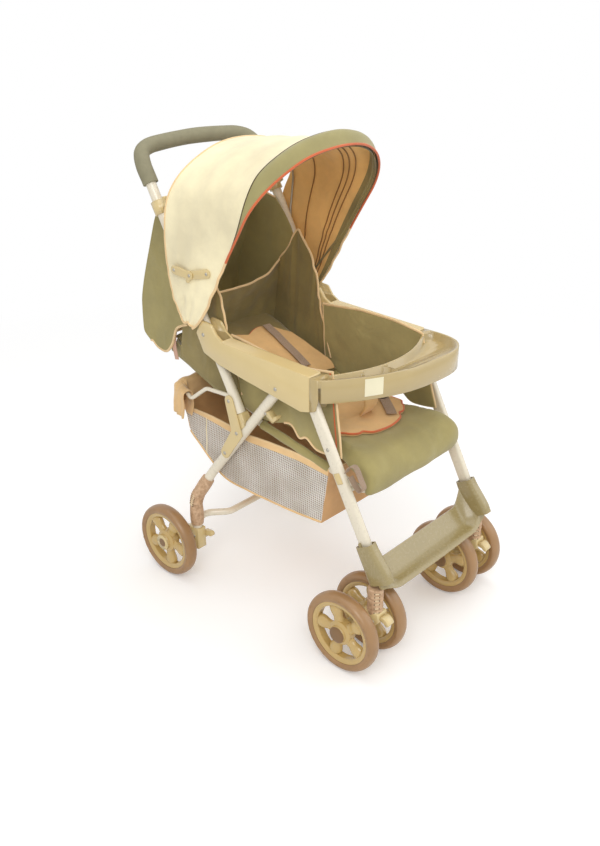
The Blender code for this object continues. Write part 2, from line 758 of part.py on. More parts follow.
def tray(owner):
    """A moulded tray with a sunk floor, a cup hole and two arms that cover the legs' heads."""
    body = bevelled(deck(tray_outline(0.0), TRAY_SKIRT, TRAY_TOP), 0.003, 1, 50)
    basin = deck(tray_outline(0.0065), TRAY_FLOOR, TRAY_TOP + 0.02)
    under = deck(tray_outline(WALL), TRAY_SKIRT - 0.02, TRAY_FLOOR - WALL)
    cup = place(CUP_PLACE[0], (CUP_PLACE[1], 0.0))
    low = cup + Vector((0, 0, CUP_FLOOR))
    collar_top = cup + Vector((0, 0, TRAY_TOP - 0.003))
    collar = rod(low - Vector((0, 0, WALL)), collar_top, CUP_RADIUS + WALL, segments=32)
    collar = common("collar", collar, deck(tray_outline(0.0015), CUP_FLOOR - 0.02, TRAY_TOP))
    well = rod(low, cup + Vector((0, 0, TRAY_TOP + 0.058)), CUP_RADIUS, segments=32)
    well = common("well", well, deck(tray_outline(0.0048), CUP_FLOOR - 0.02, TRAY_TOP + 0.048))
    arms = []
    hollows = []
    seam = TRAY_SEAM - GAP
    for side, sign in SIDES:
        low_x = min(sign * ARMREST_IN, sign * ARMREST_OUT)
        high_x = max(sign * ARMREST_IN, sign * ARMREST_OUT)
        low = TRAY_TOP - ARM_DROP
        front = seam - 0.0205
        arm = [(seam, low), (seam, TRAY_TOP), (front, TRAY_TOP), (front, TRAY_SKIRT + 0.004), (front + 0.006, low + 0.006)]
        arms.append(bevelled(slab(arm, low_x, high_x), 0.002, 1, 50))
        roof = TRAY_FLOOR - 0.001
        hollow = [(0.16, low - 0.04), (0.16, roof), (front - WALL, roof), (front - WALL, low - 0.04)]
        hollows.append(slab(hollow, low_x + WALL, high_x - WALL))
    hollowed = combine("tray_shell", body, (), [basin, under])
    add("tray", combine("tray", hollowed, arms + [collar], hollows + [well]), PLASTIC, owner)


def handle_path():
    """The push handle's centre line: a wide U whose legs run down past the armrests."""
    tail = along(HANDLE_PIVOT, HANDLE_ANGLE, -HANDLE_TAIL)
    top = along(HANDLE_PIVOT, HANDLE_ANGLE, HANDLE_REACH)
    return rounded(
        [place(-FRAME_X, tail), place(-FRAME_X, top), place(FRAME_X, top), place(FRAME_X, tail)],
        HANDLE_BEND,
        6,
    )


def push_handle(owner):
    add("push_handle_tube", wire("push_handle_tube", handle_path(), TUBE_RADIUS), ENAMEL, owner)
    grip_start = along(HANDLE_PIVOT, HANDLE_ANGLE, HANDLE_REACH - 0.085)
    path = handle_path()[1:-1]
    path = [place(-FRAME_X, grip_start)] + path + [place(FRAME_X, grip_start)]
    sleeve = helper("sleeve", wire_mesh("grip", path, TUBE_RADIUS + GAP, 4, False))
    solid = sleeve.modifiers.new("foam", "SOLIDIFY")
    solid.thickness = 0.0055
    solid.offset = 1.0
    solid.use_even_offset = True
    add("handle_grip", smooth(settle(sleeve)), FOAM, owner)
    for side, sign in SIDES:
        handle_clip(side, sign, owner)
        handle_saddle(side, sign, owner)


def handle_clip(side, sign, owner):
    """A collar on the handle's tube with a small hook, which the cloth behind the head hangs on."""
    low = place(sign * FRAME_X, along(HANDLE_PIVOT, HANDLE_ANGLE, 0.262))
    high = place(sign * FRAME_X, along(HANDLE_PIVOT, HANDLE_ANGLE, 0.290))
    way = (high - low).normalized()
    ring = rod(low, high, TUBE_RADIUS + 0.0045)
    bore = rod(low - way * 0.01, high + way * 0.01, TUBE_RADIUS + GAP)
    root = along(along(HANDLE_PIVOT, HANDLE_ANGLE, 0.276), HANDLE_ANGLE + math.pi / 2, TUBE_RADIUS + 0.002)
    bend = along(root, HANDLE_ANGLE + math.pi / 2, 0.012)
    tip = along(bend, HANDLE_ANGLE, 0.012)
    x = sign * FRAME_X
    hook = slab(ribbon([root, bend, tip], [0.004, 0.0035, 0.003]), x - 0.005, x + 0.005)
    add(f"handle_clip_{side}", combine("handle_clip", ring, [hook], [bore]), PLASTIC, owner)


def handle_saddle(side, sign, owner):
    """The block at the handle's lower end that sits astride the rear leg while the frame is open."""
    tail = along(HANDLE_PIVOT, HANDLE_ANGLE, -HANDLE_TAIL - GAP)
    foot = along(tail, HANDLE_ANGLE, -0.034)
    square = HANDLE_ANGLE + math.pi / 2
    wide = 0.0125
    outline = [along(tail, square, wide), along(foot, square, wide * 1.1),
               along(foot, square, -wide * 1.1), along(tail, square, -wide)]
    x = sign * FRAME_X
    half = TUBE_RADIUS
    block = bevelled(slab(outline, x - half, x + half), 0.002, 1)
    fall = math.atan2(REAR_LEG_KNEE[1] - REAR_LEG_PIVOT[1], REAR_LEG_KNEE[0] - REAR_LEG_PIVOT[0])
    seat = rod(place(x, REAR_LEG_PIVOT), place(x, along(REAR_LEG_PIVOT, fall, 0.30)), TUBE_RADIUS + GAP * 2)
    add(f"handle_saddle_{side}", combine("handle_saddle", block, (), [seat]), PLASTIC, owner)


def basket_wire(owner):
    """The bent wire behind the handle's legs that holds the basket's rear edge."""
    start = PLATE_TOP[0] + 0.0112
    height = PLATE_TOP[1] + 0.004
    x = FRAME_X
    rear_x = 0.148
    path = rounded(
        [
            place(-x, (start, height)), place(-x, (0.440, 0.474)), place(-x, (0.492, 0.434)),
            place(-rear_x, (0.556, 0.442)), place(rear_x, (0.556, 0.442)),
            place(x, (0.492, 0.434)), place(x, (0.440, 0.474)), place(x, (start, height)),
        ],
        0.025,
        3,
    )
    add("basket_wire", wire("basket_wire", path, 0.0045, 2), ENAMEL, owner)


def fold_plates(owner):
    """The bent links between the handle's legs and the rear legs."""
    shape = ribbon([PLATE_TOP, PLATE_MIDDLE, PLATE_FOOT], [0.0125, 0.0165, 0.0125], 8)
    for side, sign in SIDES:
        inner = sign * (FRAME_X + TUBE_RADIUS + GAP)
        outer = sign * (FRAME_X + TUBE_RADIUS + GAP + PLATE_THICKNESS)
        plate = slab(shape, min(inner, outer), max(inner, outer))
        add(f"fold_plate_{side}", bevelled(plate, 0.001, 1, 60), PLASTIC, owner)


def seat_frame(owner):
    """The U-shaped rail under the seat, with the pins on which it turns in the front legs."""
    rear = along(SEAT_PIVOT, SEAT_SLOPE, SEAT_LENGTH + 0.010)
    front = along(SEAT_PIVOT, SEAT_SLOPE, -0.022)
    path = rounded(
        [place(-SEAT_RAIL_X, rear), place(-SEAT_RAIL_X, front), place(SEAT_RAIL_X, front), place(SEAT_RAIL_X, rear)],
        0.016,
        4,
    )
    rail = wire_mesh("seat_frame", path, SEAT_RAIL_RADIUS, 3)
    pins = []
    for side, sign in SIDES:
        inner = place(sign * SEAT_RAIL_X, SEAT_PIVOT)
        outer = place(sign * (FRONT_LEG_X - LEG_THICKNESS / 2 - GAP), SEAT_PIVOT)
        pins.append(rod(inner, outer, 0.005, segments=12))
    add("seat_frame", combine("seat_frame", rail, pins), ENAMEL, owner)


def seat_pad(owner):
    """The padded seat, which rolls over the front rail and hangs down before it."""
    stations = [(0.286, 0.446), (0.215, 0.431), (0.145, 0.420), (0.080, 0.408), (0.030, 0.398),
                (0.000, 0.388), (-0.014, 0.366), (-0.012, 0.346)]
    half = SEAT_WIDTH / 2

    def point(u, v):
        x = (2 * u - 1) * half
        index = v * (len(stations) - 1)
        first = min(int(index), len(stations) - 2)
        share = index - first
        y = stations[first][0] * (1 - share) + stations[first + 1][0] * share
        z = stations[first][1] * (1 - share) + stations[first + 1][1] * share
        crown = 0.006 * (1 - (2 * u - 1) ** 2)
        return place(x, (y - crown * v, z + crown * (1 - v)))

    add("seat_pad", sheet(5, 7, point, 0.022, 0.0, 1), OLIVE_CLOTH, owner)


def back_point(x, reach, height):
    """A point of the backrest: a distance up the back and a height above its rails."""
    hinge = along(SEAT_PIVOT, SEAT_SLOPE, SEAT_LENGTH)
    return place(x, along(along(hinge, BACK_ANGLE, reach), BACK_ANGLE + math.pi / 2, height))


def backrest(owner):
    path = rounded(
        [
            back_point(-BACK_RAIL_X, -0.004, 0), back_point(-BACK_RAIL_X, BACK_RAIL_LENGTH, 0),
            back_point(BACK_RAIL_X, BACK_RAIL_LENGTH, 0), back_point(BACK_RAIL_X, -0.004, 0),
        ],
        0.030,
        4,
    )
    add("backrest_frame", wire("backrest_frame", path, BACK_RAIL_RADIUS, 3), ENAMEL, owner)
    half = SEAT_WIDTH / 2

    def point(u, v):
        crown = 0.006 * (1 - (2 * u - 1) ** 2) * math.sin(math.pi * (0.15 + 0.7 * v))
        reach = 0.024 + (BACK_LENGTH - 0.026) * v
        return back_point((2 * u - 1) * half, reach, BACK_RAIL_RADIUS + 0.012 + crown)

    add("backrest_pad", sheet(5, 6, point, 0.020, 0.0, 1), OLIVE_CLOTH, owner)


def crotch_strap(owner):
    strap = [(0.108, 0.436), (0.116, 0.470), (0.134, 0.498)]
    add("crotch_strap", slab(ribbon(strap, [0.0025, 0.0022, 0.0022], 3), -0.018, 0.018), TAN_CLOTH, owner)


def side_panels():
    """The cloth sides between the armrests and the seat."""
    for side, sign in SIDES:
        def point(u, v, sign=sign):
            y = TRAY_SEAM + 0.004 + 0.287 * u
            low = 0.446 + 0.020 * u + 0.030 * max(0.0, u - 0.75) / 0.25
            top = 0.596 + 0.006 * u
            fold = 0.0012 * math.sin(math.pi * 5 * u) * math.sin(math.pi * v)
            return place(sign * (SIDE_CLOTH_X + fold), (y, low + (top - low) * v))

        add(f"side_panel_{side}", sheet(16, 5, point, 0.005), OLIVE_CLOTH)


def head_panel(owner):
    """The cloth pouch behind the child's head, hung between the handle's legs."""
    half = SIDE_CLOTH_X + 0.003
    corner = 0.22

    def point(u, v):
        side = 2 * u - 1
        if abs(side) > 1 - corner * 2:
            away = (abs(side) - (1 - corner * 2)) / (corner * 2)
        else:
            away = 0.0
        x = half * max(-1.0, min(1.0, side / (1 - corner * 2)))
        rear_low = HEAD_REAR_Y - 0.0022
        low = (rear_low - 0.170 * away, 0.524 + 0.022 * away)
        high = (0.592 - 0.085 * away, 0.838 - 0.050 * away)
        fold = 0.002 * math.sin(math.pi * 6 * u) * math.sin(math.pi * v)
        return place(x, (low[0] + (high[0] - low[0]) * v + fold * (1 - away), low[1] + (high[1] - low[1]) * v))

    add("head_panel", sheet(18, 6, point, 0.004), OLIVE_CLOTH, owner)


def canopy_point(u, t, inset=0.0):
    """A point of the canopy: u runs from its rear edge to its front edge, t over its arch, 0 to 2."""
    half = min(t, 2.0 - t)
    rise = CANOPY_SIDE_SHARE
    if half < rise:
        share = CANOPY_SHOULDER * half / rise
        width = 1.0
    else:
        turn = math.pi / 2 * (half - rise) / (1.0 - rise)
        share = CANOPY_SHOULDER + (1.0 - CANOPY_SHOULDER) * math.sin(turn) ** CANOPY_CROWN_POWER
        width = max(0.0, math.cos(turn)) ** CANOPY_CROWN_POWER
    rear_angle = CANOPY_REAR_ANGLE - 35.5 * (1.0 - share) ** 1.3
    front_angle = CANOPY_FRONT_ANGLE + 1.3 * (1.0 - share) + 40.4 * math.exp(-share / 0.15)
    angle = math.radians(rear_angle + (front_angle - rear_angle) * u)
    height = CANOPY_REAR_HEIGHT + (CANOPY_FRONT_HEIGHT - CANOPY_REAR_HEIGHT) * u ** 1.395
    height += CANOPY_LIP * math.exp(-((u - 0.9) / 0.08) ** 2) - CANOPY_SAG * math.sin(math.pi * u) - inset * 1.4
    x = (CANOPY_HALF_WIDTH - inset) * math.copysign(width, 1.0 - t)
    return place(x, along(CANOPY_TIP, angle, height * share))


def canopy_cloth(owner):
    """One curved sheet over the bows, narrowing to a tail at each side."""
    lowest = 0.03

    def point(u, v):
        return canopy_point(u, lowest + 2 * (1 - lowest) * v)

    add("canopy", sheet(9, 30, point, CANOPY_CLOTH, 0.0), CREAM_CLOTH, owner)


def canopy_bow(name, owner, share, foot):
    inset = 0.0060
    arch = [canopy_point(share, 0.3 + 1.4 * s / 20, inset) for s in range(21)]
    x = CANOPY_HALF_WIDTH - inset
    path = [place(x, foot)] + arch + [place(-x, foot)]
    add(name, wire(name, path, 0.0023, 2), STEEL, owner)


def canopy_stays(rear_owner, front_owner):
    """The jointed side stays: a rear arm with a thumb tab, and a front arm."""
    first = CANOPY_HALF_WIDTH + CANOPY_CLOTH / 2 + 0.0008
    thick = 0.0026
    for side, sign in SIDES:
        def layer(number):
            low = first + number * (thick + GAP)
            return (min(sign * low, sign * (low + thick)), max(sign * low, sign * (low + thick)))

        tab = along(STAY_KNUCKLE, math.radians(-60), 0.014)
        rear = slab(ribbon([STAY_REAR, STAY_KNUCKLE], [0.0095, 0.0085]), *layer(1))
        thumb = slab(ribbon([STAY_KNUCKLE, tab], [0.005, 0.005]), *layer(1))
        add(f"canopy_stay_rear_{side}", combine("stay_rear", rear, [thumb]), PLASTIC, rear_owner)
        front = slab(ribbon([STAY_KNUCKLE, STAY_FRONT], [0.0085, 0.0095]), *layer(0))
        add(f"canopy_stay_front_{side}", smooth(front), PLASTIC, front_owner)


def basket(owner):
    """An open cloth basket under the seat."""
    half = 0.1555
    skin = 0.0022
    outer = [(0.098, 0.368), (0.112, 0.260), (0.330, 0.280), (0.558, 0.312), (0.562, 0.432), (0.480, 0.420),
             (0.380, 0.398), (0.294, 0.386), (0.180, 0.378)]
    inner = [(0.098 + skin, 0.50), (0.1005, 0.368), (0.1142, 0.2624), (0.330, 0.2824), (0.5556, 0.3141),
             (0.5596, 0.432), (0.5596, 0.50)]
    bag = combine("basket", slab(outer, -half, half), (), [slab(inner, -half + skin, half - skin)])
    add("basket", bag, TAN_CLOTH, owner)


def build():
    wheel = wheel_mesh()
    tyre = tyre_mesh()
    armrests()
    side_panels()
    tray_slide = pivot("tray_slide", (TRAY_SEAM, TRAY_TOP))
    tray(tray_slide)
    front_axis = pivot("frame_fold", FRONT_LEG_PIVOT)
    front_legs(front_axis)
    footrest(front_axis)
    for side, sign in SIDES:
        castor(side, sign, front_axis, wheel, tyre)
    rear_axis = pivot("rear_fold", REAR_LEG_PIVOT)
    rear_frame(rear_axis, wheel, tyre)
    fold_plates(pivot("plate_fold", PLATE_FOOT, rear_axis))
    handle_axis = pivot("handle_fold", HANDLE_PIVOT)
    push_handle(handle_axis)
    basket_wire(handle_axis)
    head_panel(handle_axis)
    canopy_cloth(handle_axis)
    canopy_bow("canopy_rear_bow", handle_axis, 0.02, (0.4765, 0.690))
    bow_axis = pivot("canopy_fold", CANOPY_PIVOT, handle_axis)
    canopy_bow("canopy_front_bow", bow_axis, 0.96, CANOPY_PIVOT)
    canopy_stays(pivot("stay_rear_fold", STAY_REAR, handle_axis), pivot("stay_front_fold", STAY_FRONT, bow_axis))
    seat_axis = pivot("seat_fold", SEAT_PIVOT, front_axis)
    seat_frame(seat_axis)
    seat_pad(seat_axis)
    crotch_strap(seat_axis)
    basket(seat_axis)
    backrest(pivot("backrest_recline", along(SEAT_PIVOT, SEAT_SLOPE, SEAT_LENGTH), seat_axis))


build()
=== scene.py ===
"""Looks of the folding pushchair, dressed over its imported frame. Metres, +Z up, the child faces -Y."""
import json
import math

import bmesh
import bpy
from mathutils import Matrix, Vector, noise
from mathutils.bvhtree import BVHTree


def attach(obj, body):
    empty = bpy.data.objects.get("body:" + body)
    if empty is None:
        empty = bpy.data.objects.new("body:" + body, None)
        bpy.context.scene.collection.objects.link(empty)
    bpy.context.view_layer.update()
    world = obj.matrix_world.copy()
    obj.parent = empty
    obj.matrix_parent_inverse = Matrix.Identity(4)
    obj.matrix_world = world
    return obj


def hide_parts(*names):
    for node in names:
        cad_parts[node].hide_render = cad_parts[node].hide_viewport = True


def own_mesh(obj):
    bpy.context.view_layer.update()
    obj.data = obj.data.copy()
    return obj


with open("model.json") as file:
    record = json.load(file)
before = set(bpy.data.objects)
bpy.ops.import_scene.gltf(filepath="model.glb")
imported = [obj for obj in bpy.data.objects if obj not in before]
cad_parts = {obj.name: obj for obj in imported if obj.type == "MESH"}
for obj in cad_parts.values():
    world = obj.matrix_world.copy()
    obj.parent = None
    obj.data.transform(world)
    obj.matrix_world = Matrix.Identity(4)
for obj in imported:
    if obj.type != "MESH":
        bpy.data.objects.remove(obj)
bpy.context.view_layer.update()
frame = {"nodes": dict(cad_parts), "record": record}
BODY_OF = {n: b for b, names in frame["record"]["behaviour"]["bodies"].items() for n in names}

# Points of the side profile are (y, z), with y = 0 at the front axle, which is MIDDLE_Y ahead of the middle
MIDDLE_Y = 0.28825
SIDES = (("right", -1), ("left", 1))
HANDLE_PIVOT = (0.4228, 0.606)
HANDLE_ANGLE = math.radians(60.9)
HANDLE_X = 0.170
REAR_LEG_PIVOT = (0.2165, 0.543)
REAR_LEG_KNEE = (0.4315, 0.2725)
REAR_STEM_X = 0.200
REAR_STEM_Y = 0.461
FRONT_LEG_PIVOT = (0.141, 0.561)
FRONT_LEG_FOOT = (-0.016, 0.270)
FRONT_LEG_X = 0.176
SEAT_PIVOT = (0.0405, 0.3729)
SEAT_SLOPE = math.radians(11.1)
SEAT_RAIL_X = 0.143
BACK_HINGE = (0.31233, 0.42623)
BACK_ANGLE = math.radians(21.25)
BACK_RAIL_X = 0.129
CANOPY_TIP = (0.470, 0.605)
CANOPY_HALF = 0.190
CASTOR_X = 0.180
STEM_Y = -0.045
WHEEL_RADIUS = 0.0875
REAR_AXLE_Y = 0.518
TUBE_RADIUS = 0.011
WHITE = (1.0, 1.0, 1.0, 1.0)

PARTS = bpy.data.collections.new("dressing")
bpy.context.scene.collection.children.link(PARTS)


def place(x, point):
    """The world point at a point of the side profile, at a distance x from the middle."""
    return Vector((x, point[0] - MIDDLE_Y, point[1]))


def along(point, angle, distance):
    """The profile point at a distance from another, along an angle."""
    return (point[0] + distance * math.cos(angle), point[1] + distance * math.sin(angle))


def heading(start, end):
    return math.atan2(end[1] - start[1], end[0] - start[0])


def mix(a, b, t):
    return a + (b - a) * t


def step_between(value, low, high):
    """A soft step from 0 at low to 1 at high."""
    t = max(0.0, min(1.0, (value - low) / (high - low)))
    return t * t * (3 - 2 * t)


def through(points, t):
    """A point at share t along a smooth curve through the given points, of two or three numbers each."""
    last = len(points) - 1
    spot = min(max(t, 0.0), 1.0) * last
    index = min(int(spot), last - 1)
    f = spot - index
    p = [Vector(points[max(0, min(last, index + k))]) for k in (-1, 0, 1, 2)]
    return 0.5 * (2 * p[1] + (p[2] - p[0]) * f + (2 * p[0] - 5 * p[1] + 4 * p[2] - p[3]) * f * f
                  + (3 * p[1] - p[0] - 3 * p[2] + p[3]) * f ** 3)


def bearing(points, t):
    """The way that the smooth curve runs at share t."""
    return through(points, min(1, t + 0.02)) - through(points, max(0, t - 0.02))


def between(stations, t):
    """The values at share t along a list of stations, joined by straight lines."""
    at = t * (len(stations) - 1)
    i = min(int(at), len(stations) - 2)
    return [mix(a, b, at - i) for a, b in zip(stations[i], stations[i + 1])]


def profile_point(low, top, u, v):
    """The profile point at share v of the way from a lower line to an upper one."""
    a = through(low, u)
    b = through(top, u)
    return (mix(a.x, b.x, v), mix(a.y, b.y, v))


def rough(scale_u, scale_v, seed, u, v):
    """Smooth noise over a cloth."""
    return noise.noise(Vector((u * scale_u, v * scale_v, seed)))


FRONT_LEG_ANGLE = heading(FRONT_LEG_FOOT, FRONT_LEG_PIVOT)


# Shader groups

def fill(made, values):
    """Give each input of a node its value, or a link where the value is another node's socket."""
    for key, value in values.items():
        if isinstance(value, bpy.types.NodeSocket):
            made.id_data.links.new(value, made.inputs[key])
        else:
            made.inputs[key].default_value = value
    return made


def node(tree, kind, values=None, **settings):
    made = tree.nodes.new(kind)
    for key, value in settings.items():
        setattr(made, key, value)
    return fill(made, values or {})


def maths(tree, operation, first, second):
    return node(tree, "ShaderNodeMath", {0: first, 1: second}, operation=operation).outputs[0]


def object_point(tree):
    return node(tree, "ShaderNodeTexCoord").outputs["Object"]


def speckle(tree, values):
    return node(tree, "ShaderNodeTexNoise", values).outputs["Fac"]


def bump(tree, height, strength, distance, under=None):
    """The normal of a bump, laid over another normal where one is given."""
    values = {"Height": height, "Strength": strength, "Distance": distance}
    if under:
        values["Normal"] = under
    return node(tree, "ShaderNodeBump", values).outputs["Normal"]


def new_group(name, inputs, outputs):
    """A shader group whose sockets are all plain numbers."""
    tree = bpy.data.node_groups.new(name, "ShaderNodeTree")
    for label, value in inputs.items():
        socket = tree.interface.new_socket(label, in_out="INPUT", socket_type="NodeSocketFloat")
        socket.default_value = value
    for label in outputs:
        tree.interface.new_socket(label, in_out="OUTPUT", socket_type="NodeSocketFloat")
    return tree, node(tree, "NodeGroupInput").outputs, node(tree, "NodeGroupOutput")


def weave_group():
    """Crossed threads and slubs: a height, a tone that varies over the cloth, and wrinkles."""
    tree, given, result = new_group("cloth weave", {"Threads": 900.0, "Wrinkle Size": 14.0},
                                    ("Height", "Tone", "Wrinkle"))
    spot = object_point(tree)
    threads = []
    for turn in ((0.0, 0.0, 0.7), (0.0, 0.9, 0.0)):
        slant = node(tree, "ShaderNodeMapping", {"Vector": spot, "Rotation": turn}).outputs[0]
        wave = node(tree, "ShaderNodeTexWave", {"Vector": slant, "Scale": given["Threads"], "Distortion": 0.6,
                                                "Detail": 1.0}, bands_direction="DIAGONAL")
        threads.append(wave.outputs["Fac"])
    fill(result, {
        "Height": maths(tree, "MULTIPLY", *threads),
        "Tone": speckle(tree, {"Vector": spot, "Scale": 9.0, "Detail": 5.0, "Roughness": 0.6}),
        "Wrinkle": speckle(tree, {"Vector": spot, "Scale": given["Wrinkle Size"], "Detail": 2.5,
                                  "Roughness": 0.45, "Distortion": 0.8}),
    })
    return tree


def moulding_group():
    """The faint mottling, flow and scuffs of moulded or painted parts."""
    tree, given, result = new_group("moulding", {"Scale": 30.0}, ("Tone", "Scuff", "Height"))
    spot = object_point(tree)
    for label, factor, detail in (("Tone", 0.5, 2.0), ("Scuff", 4.0, 8.0), ("Height", 14.0, 3.0)):
        size = maths(tree, "MULTIPLY", given["Scale"], factor)
        fill(result, {label: speckle(tree, {"Vector": spot, "Scale": size, "Detail": detail})})
    return tree


WEAVE = weave_group()
MOULDING = moulding_group()


# Materials

def start_material(name):
    made = bpy.data.materials.new(name)
    made.use_nodes = True
    return made, made.node_tree, made.node_tree.nodes["Principled BSDF"]


def rgb(text):
    """A display colour such as F6ECC9 as linear light."""
    values = [int(text[i:i + 2], 16) / 255 for i in (0, 2, 4)]
    return tuple(v / 12.92 if v <= 0.04045 else ((v + 0.055) / 1.055) ** 2.4 for v in values)


def ramp(tree, factor, low, high):
    """A colour that runs from low to high over the middle of a factor's range."""
    made = node(tree, "ShaderNodeValToRGB", {"Fac": factor})
    for element, position, colour in zip(made.color_ramp.elements, (0.3, 0.7), (low, high)):
        element.position = position
        element.color = (*colour, 1.0)
    return made.outputs["Color"]


def mottled(tree, factor, colour, shade):
    """A colour that varies a little darker and lighter about its middle."""
    middle = rgb(colour)
    return ramp(tree, factor, [c * shade for c in middle], [min(1.0, c * (2.0 - shade)) for c in middle])


def cloth(name, colour, shade=0.86, wrinkle=0.35, size=14.0, weave=0.12):
    made, tree, shader = start_material(name)
    group = node(tree, "ShaderNodeGroup", {"Wrinkle Size": size}, node_tree=WEAVE).outputs
    folds = bump(tree, group["Wrinkle"], wrinkle, 0.012)
    fill(shader, {
        "Base Color": mottled(tree, group["Tone"], colour, shade),
        "Normal": bump(tree, group["Height"], weave, 0.0006, folds),
        "Roughness": 0.82, "Sheen Weight": 0.25, "Sheen Roughness": 0.5,
    })
    return made


def hard(name, colour, roughness, shade=0.94, relief=0.05, scale=30.0, metallic=0.0, coat=0.0):
    made, tree, shader = start_material(name)
    group = node(tree, "ShaderNodeGroup", {"Scale": scale}, node_tree=MOULDING).outputs
    scuffed = node(tree, "ShaderNodeMapRange", {
        "Value": group["Scuff"], "To Min": roughness * 0.75, "To Max": min(1.0, roughness * 1.3)})
    fill(shader, {
        "Base Color": mottled(tree, group["Tone"], colour, shade),
        "Roughness": scuffed.outputs["Result"],
        "Normal": bump(tree, group["Height"], relief, 0.001),
        "Metallic": metallic, "Coat Weight": coat, "Coat Roughness": 0.12,
    })
    return made


def netting():
    """Knitted netting: fine holes on a slant, seen as a veil from a distance."""
    made, tree, shader = start_material("basket netting")
    spot = object_point(tree)
    threads = []
    for angle in (-0.06, 1.50):
        slant = node(tree, "ShaderNodeMapping", {"Vector": spot, "Rotation": (angle, 0.0, 0.0)}).outputs[0]
        wave = node(tree, "ShaderNodeTexWave", {"Vector": slant, "Scale": 60.0}, bands_direction="Z")
        threads.append(wave.outputs["Fac"])
    veil = node(tree, "ShaderNodeMapRange", {"Value": maths(tree, "MAXIMUM", *threads), "From Min": 0.55,
                                             "From Max": 0.9, "To Min": 0.22, "To Max": 0.95})
    tone = speckle(tree, {"Vector": spot, "Scale": 18.0, "Detail": 3.0})
    fill(shader, {"Alpha": veil.outputs["Result"], "Roughness": 0.7,
                  "Base Color": ramp(tree, tone, rgb("CFC6BA"), rgb("E9E3DB"))})
    return made


def wrapped_paper():
    """Brown wrapping in turns round a stem, with crumples."""
    made, tree, shader = start_material("brown wrapping")
    spot = object_point(tree)
    turns = node(tree, "ShaderNodeTexWave", {"Vector": spot, "Scale": 26.0, "Distortion": 0.4},
                 bands_direction="Z", wave_profile="SAW").outputs["Fac"]
    crumple = speckle(tree, {"Vector": spot, "Scale": 160.0, "Detail": 6.0})
    fill(shader, {"Base Color": ramp(tree, crumple, rgb("B28E6C"), rgb("D9B794")), "Roughness": 0.55,
                  "Normal": bump(tree, crumple, 0.4, 0.002, bump(tree, turns, 0.5, 0.002))})
    return made


CREAM_CLOTH = cloth("cream canopy cloth", "F2E6C0", wrinkle=0.16, size=7.0)
BAND_CLOTH = cloth("light olive band", "9C9362", wrinkle=0.2)
LINING_CLOTH = cloth("ochre lining", "F0C078", wrinkle=0.4, size=18.0)
OLIVE_CLOTH = cloth("olive cloth", "9B8F5A", 0.84, 0.45, 11.0)
SIDE_CLOTH = cloth("light olive side cloth", "A39663", 0.84, 0.5, 13.0)
DARK_CLOTH = cloth("shaded olive cloth", "8B7C4C", 0.78, 0.5, 12.0)
INSERT_CLOTH = cloth("tan insert cloth", "DDB47A", 0.84, 0.5, 12.0)
BASKET_CLOTH = cloth("peach basket cloth", "E6C08A", wrinkle=0.4, size=20.0)
BASKET_LINING = cloth("ochre basket lining", "CF9F68", 0.84, 0.4)
TAN_PIPING = cloth("tan binding", "E8C998", wrinkle=0.1, weave=0.3)
SEAM_THREAD = cloth("brown seam", "93662F", wrinkle=0.1)
ORANGE_PIPING = cloth("orange piping", "D0683A", wrinkle=0.1, weave=0.3)
DARK_PIPING = cloth("dark piping", "4A3A20", wrinkle=0.1)
WEBBING = cloth("brown webbing", "AD9177", 0.8, 0.1, weave=0.8)
PALE_STRAP = cloth("pale strap", "C9A08A", wrinkle=0.1)
THREAD = cloth("sewing thread", "F3E4BE", wrinkle=0.0)
NETTING = netting()
WRAPPING = wrapped_paper()
ENAMEL = hard("cream enamel", "E6DDC8", 0.28, 0.98, 0.01, coat=0.4)
PLASTIC = hard("glossy beige moulding", "D6C08A", 0.24, 0.975, 0.012, coat=0.5)
TRAY_PLASTIC = hard("glossy tray moulding", "B9A473", 0.24, 0.975, 0.012, coat=0.5)
STEP_PLASTIC = hard("footrest moulding", "9C8C5F", 0.26, 0.97, 0.012, coat=0.5)
WHEEL_PLASTIC = hard("glossy wheel moulding", "C4A668", 0.22, 0.975, 0.012, coat=0.5)
CAP_PLASTIC = hard("brown hub cap", "80603B", 0.35)
TYRE = hard("brown tyre", "A07B52", 0.36, 0.93, 0.08, 60.0, coat=0.2)
FOAM = hard("grey foam", "89846A", 0.72, relief=0.25, scale=120.0)
STEEL = hard("zinc screw", "B9B4A8", 0.32, metallic=0.9)
STAPLE = hard("dark staple", "5B4630", 0.4, metallic=0.6)
BLANK_LABEL = hard("bare pale label", "E6DFC0", 0.5)


# Building helpers

def smooth(mesh, degrees=35):
    mesh.shade_smooth()
    mesh.set_sharp_from_angle(angle=math.radians(degrees))
    return mesh


def outward(mesh, merge=None):
    """The mesh with its faces pointing outwards, after points closer than merge are joined."""
    work = bmesh.new()
    work.from_mesh(mesh)
    if merge:
        bmesh.ops.remove_doubles(work, verts=work.verts, dist=merge)
    bmesh.ops.recalc_face_normals(work, faces=work.faces)
    work.to_mesh(mesh)
    work.free()
    return mesh


def weld(mesh, degrees=35):
    return smooth(outward(mesh, 2e-5), degrees)


def temporary(data):
    thing = bpy.data.objects.new("temporary", data)
    PARTS.objects.link(thing)
    return thing


def baked(thing, degrees=35):
    """The shape of a temporary object with its modifiers, as a plain mesh."""
    bpy.context.view_layer.update()
    mesh = bpy.data.meshes.new_from_object(thing.evaluated_get(bpy.context.evaluated_depsgraph_get()))
    mesh.transform(thing.matrix_world)
    bpy.data.objects.remove(thing, do_unlink=True)
    return smooth(mesh, degrees)


def modifier(thing, kind, **settings):
    made = thing.modifiers.new(kind.lower(), kind)
    for key, value in settings.items():
        setattr(made, key, value)
    return made


def solid(name, verts, faces):
    mesh = bpy.data.meshes.new(name)
    mesh.from_pydata([tuple(v) for v in verts], [], faces)
    return mesh


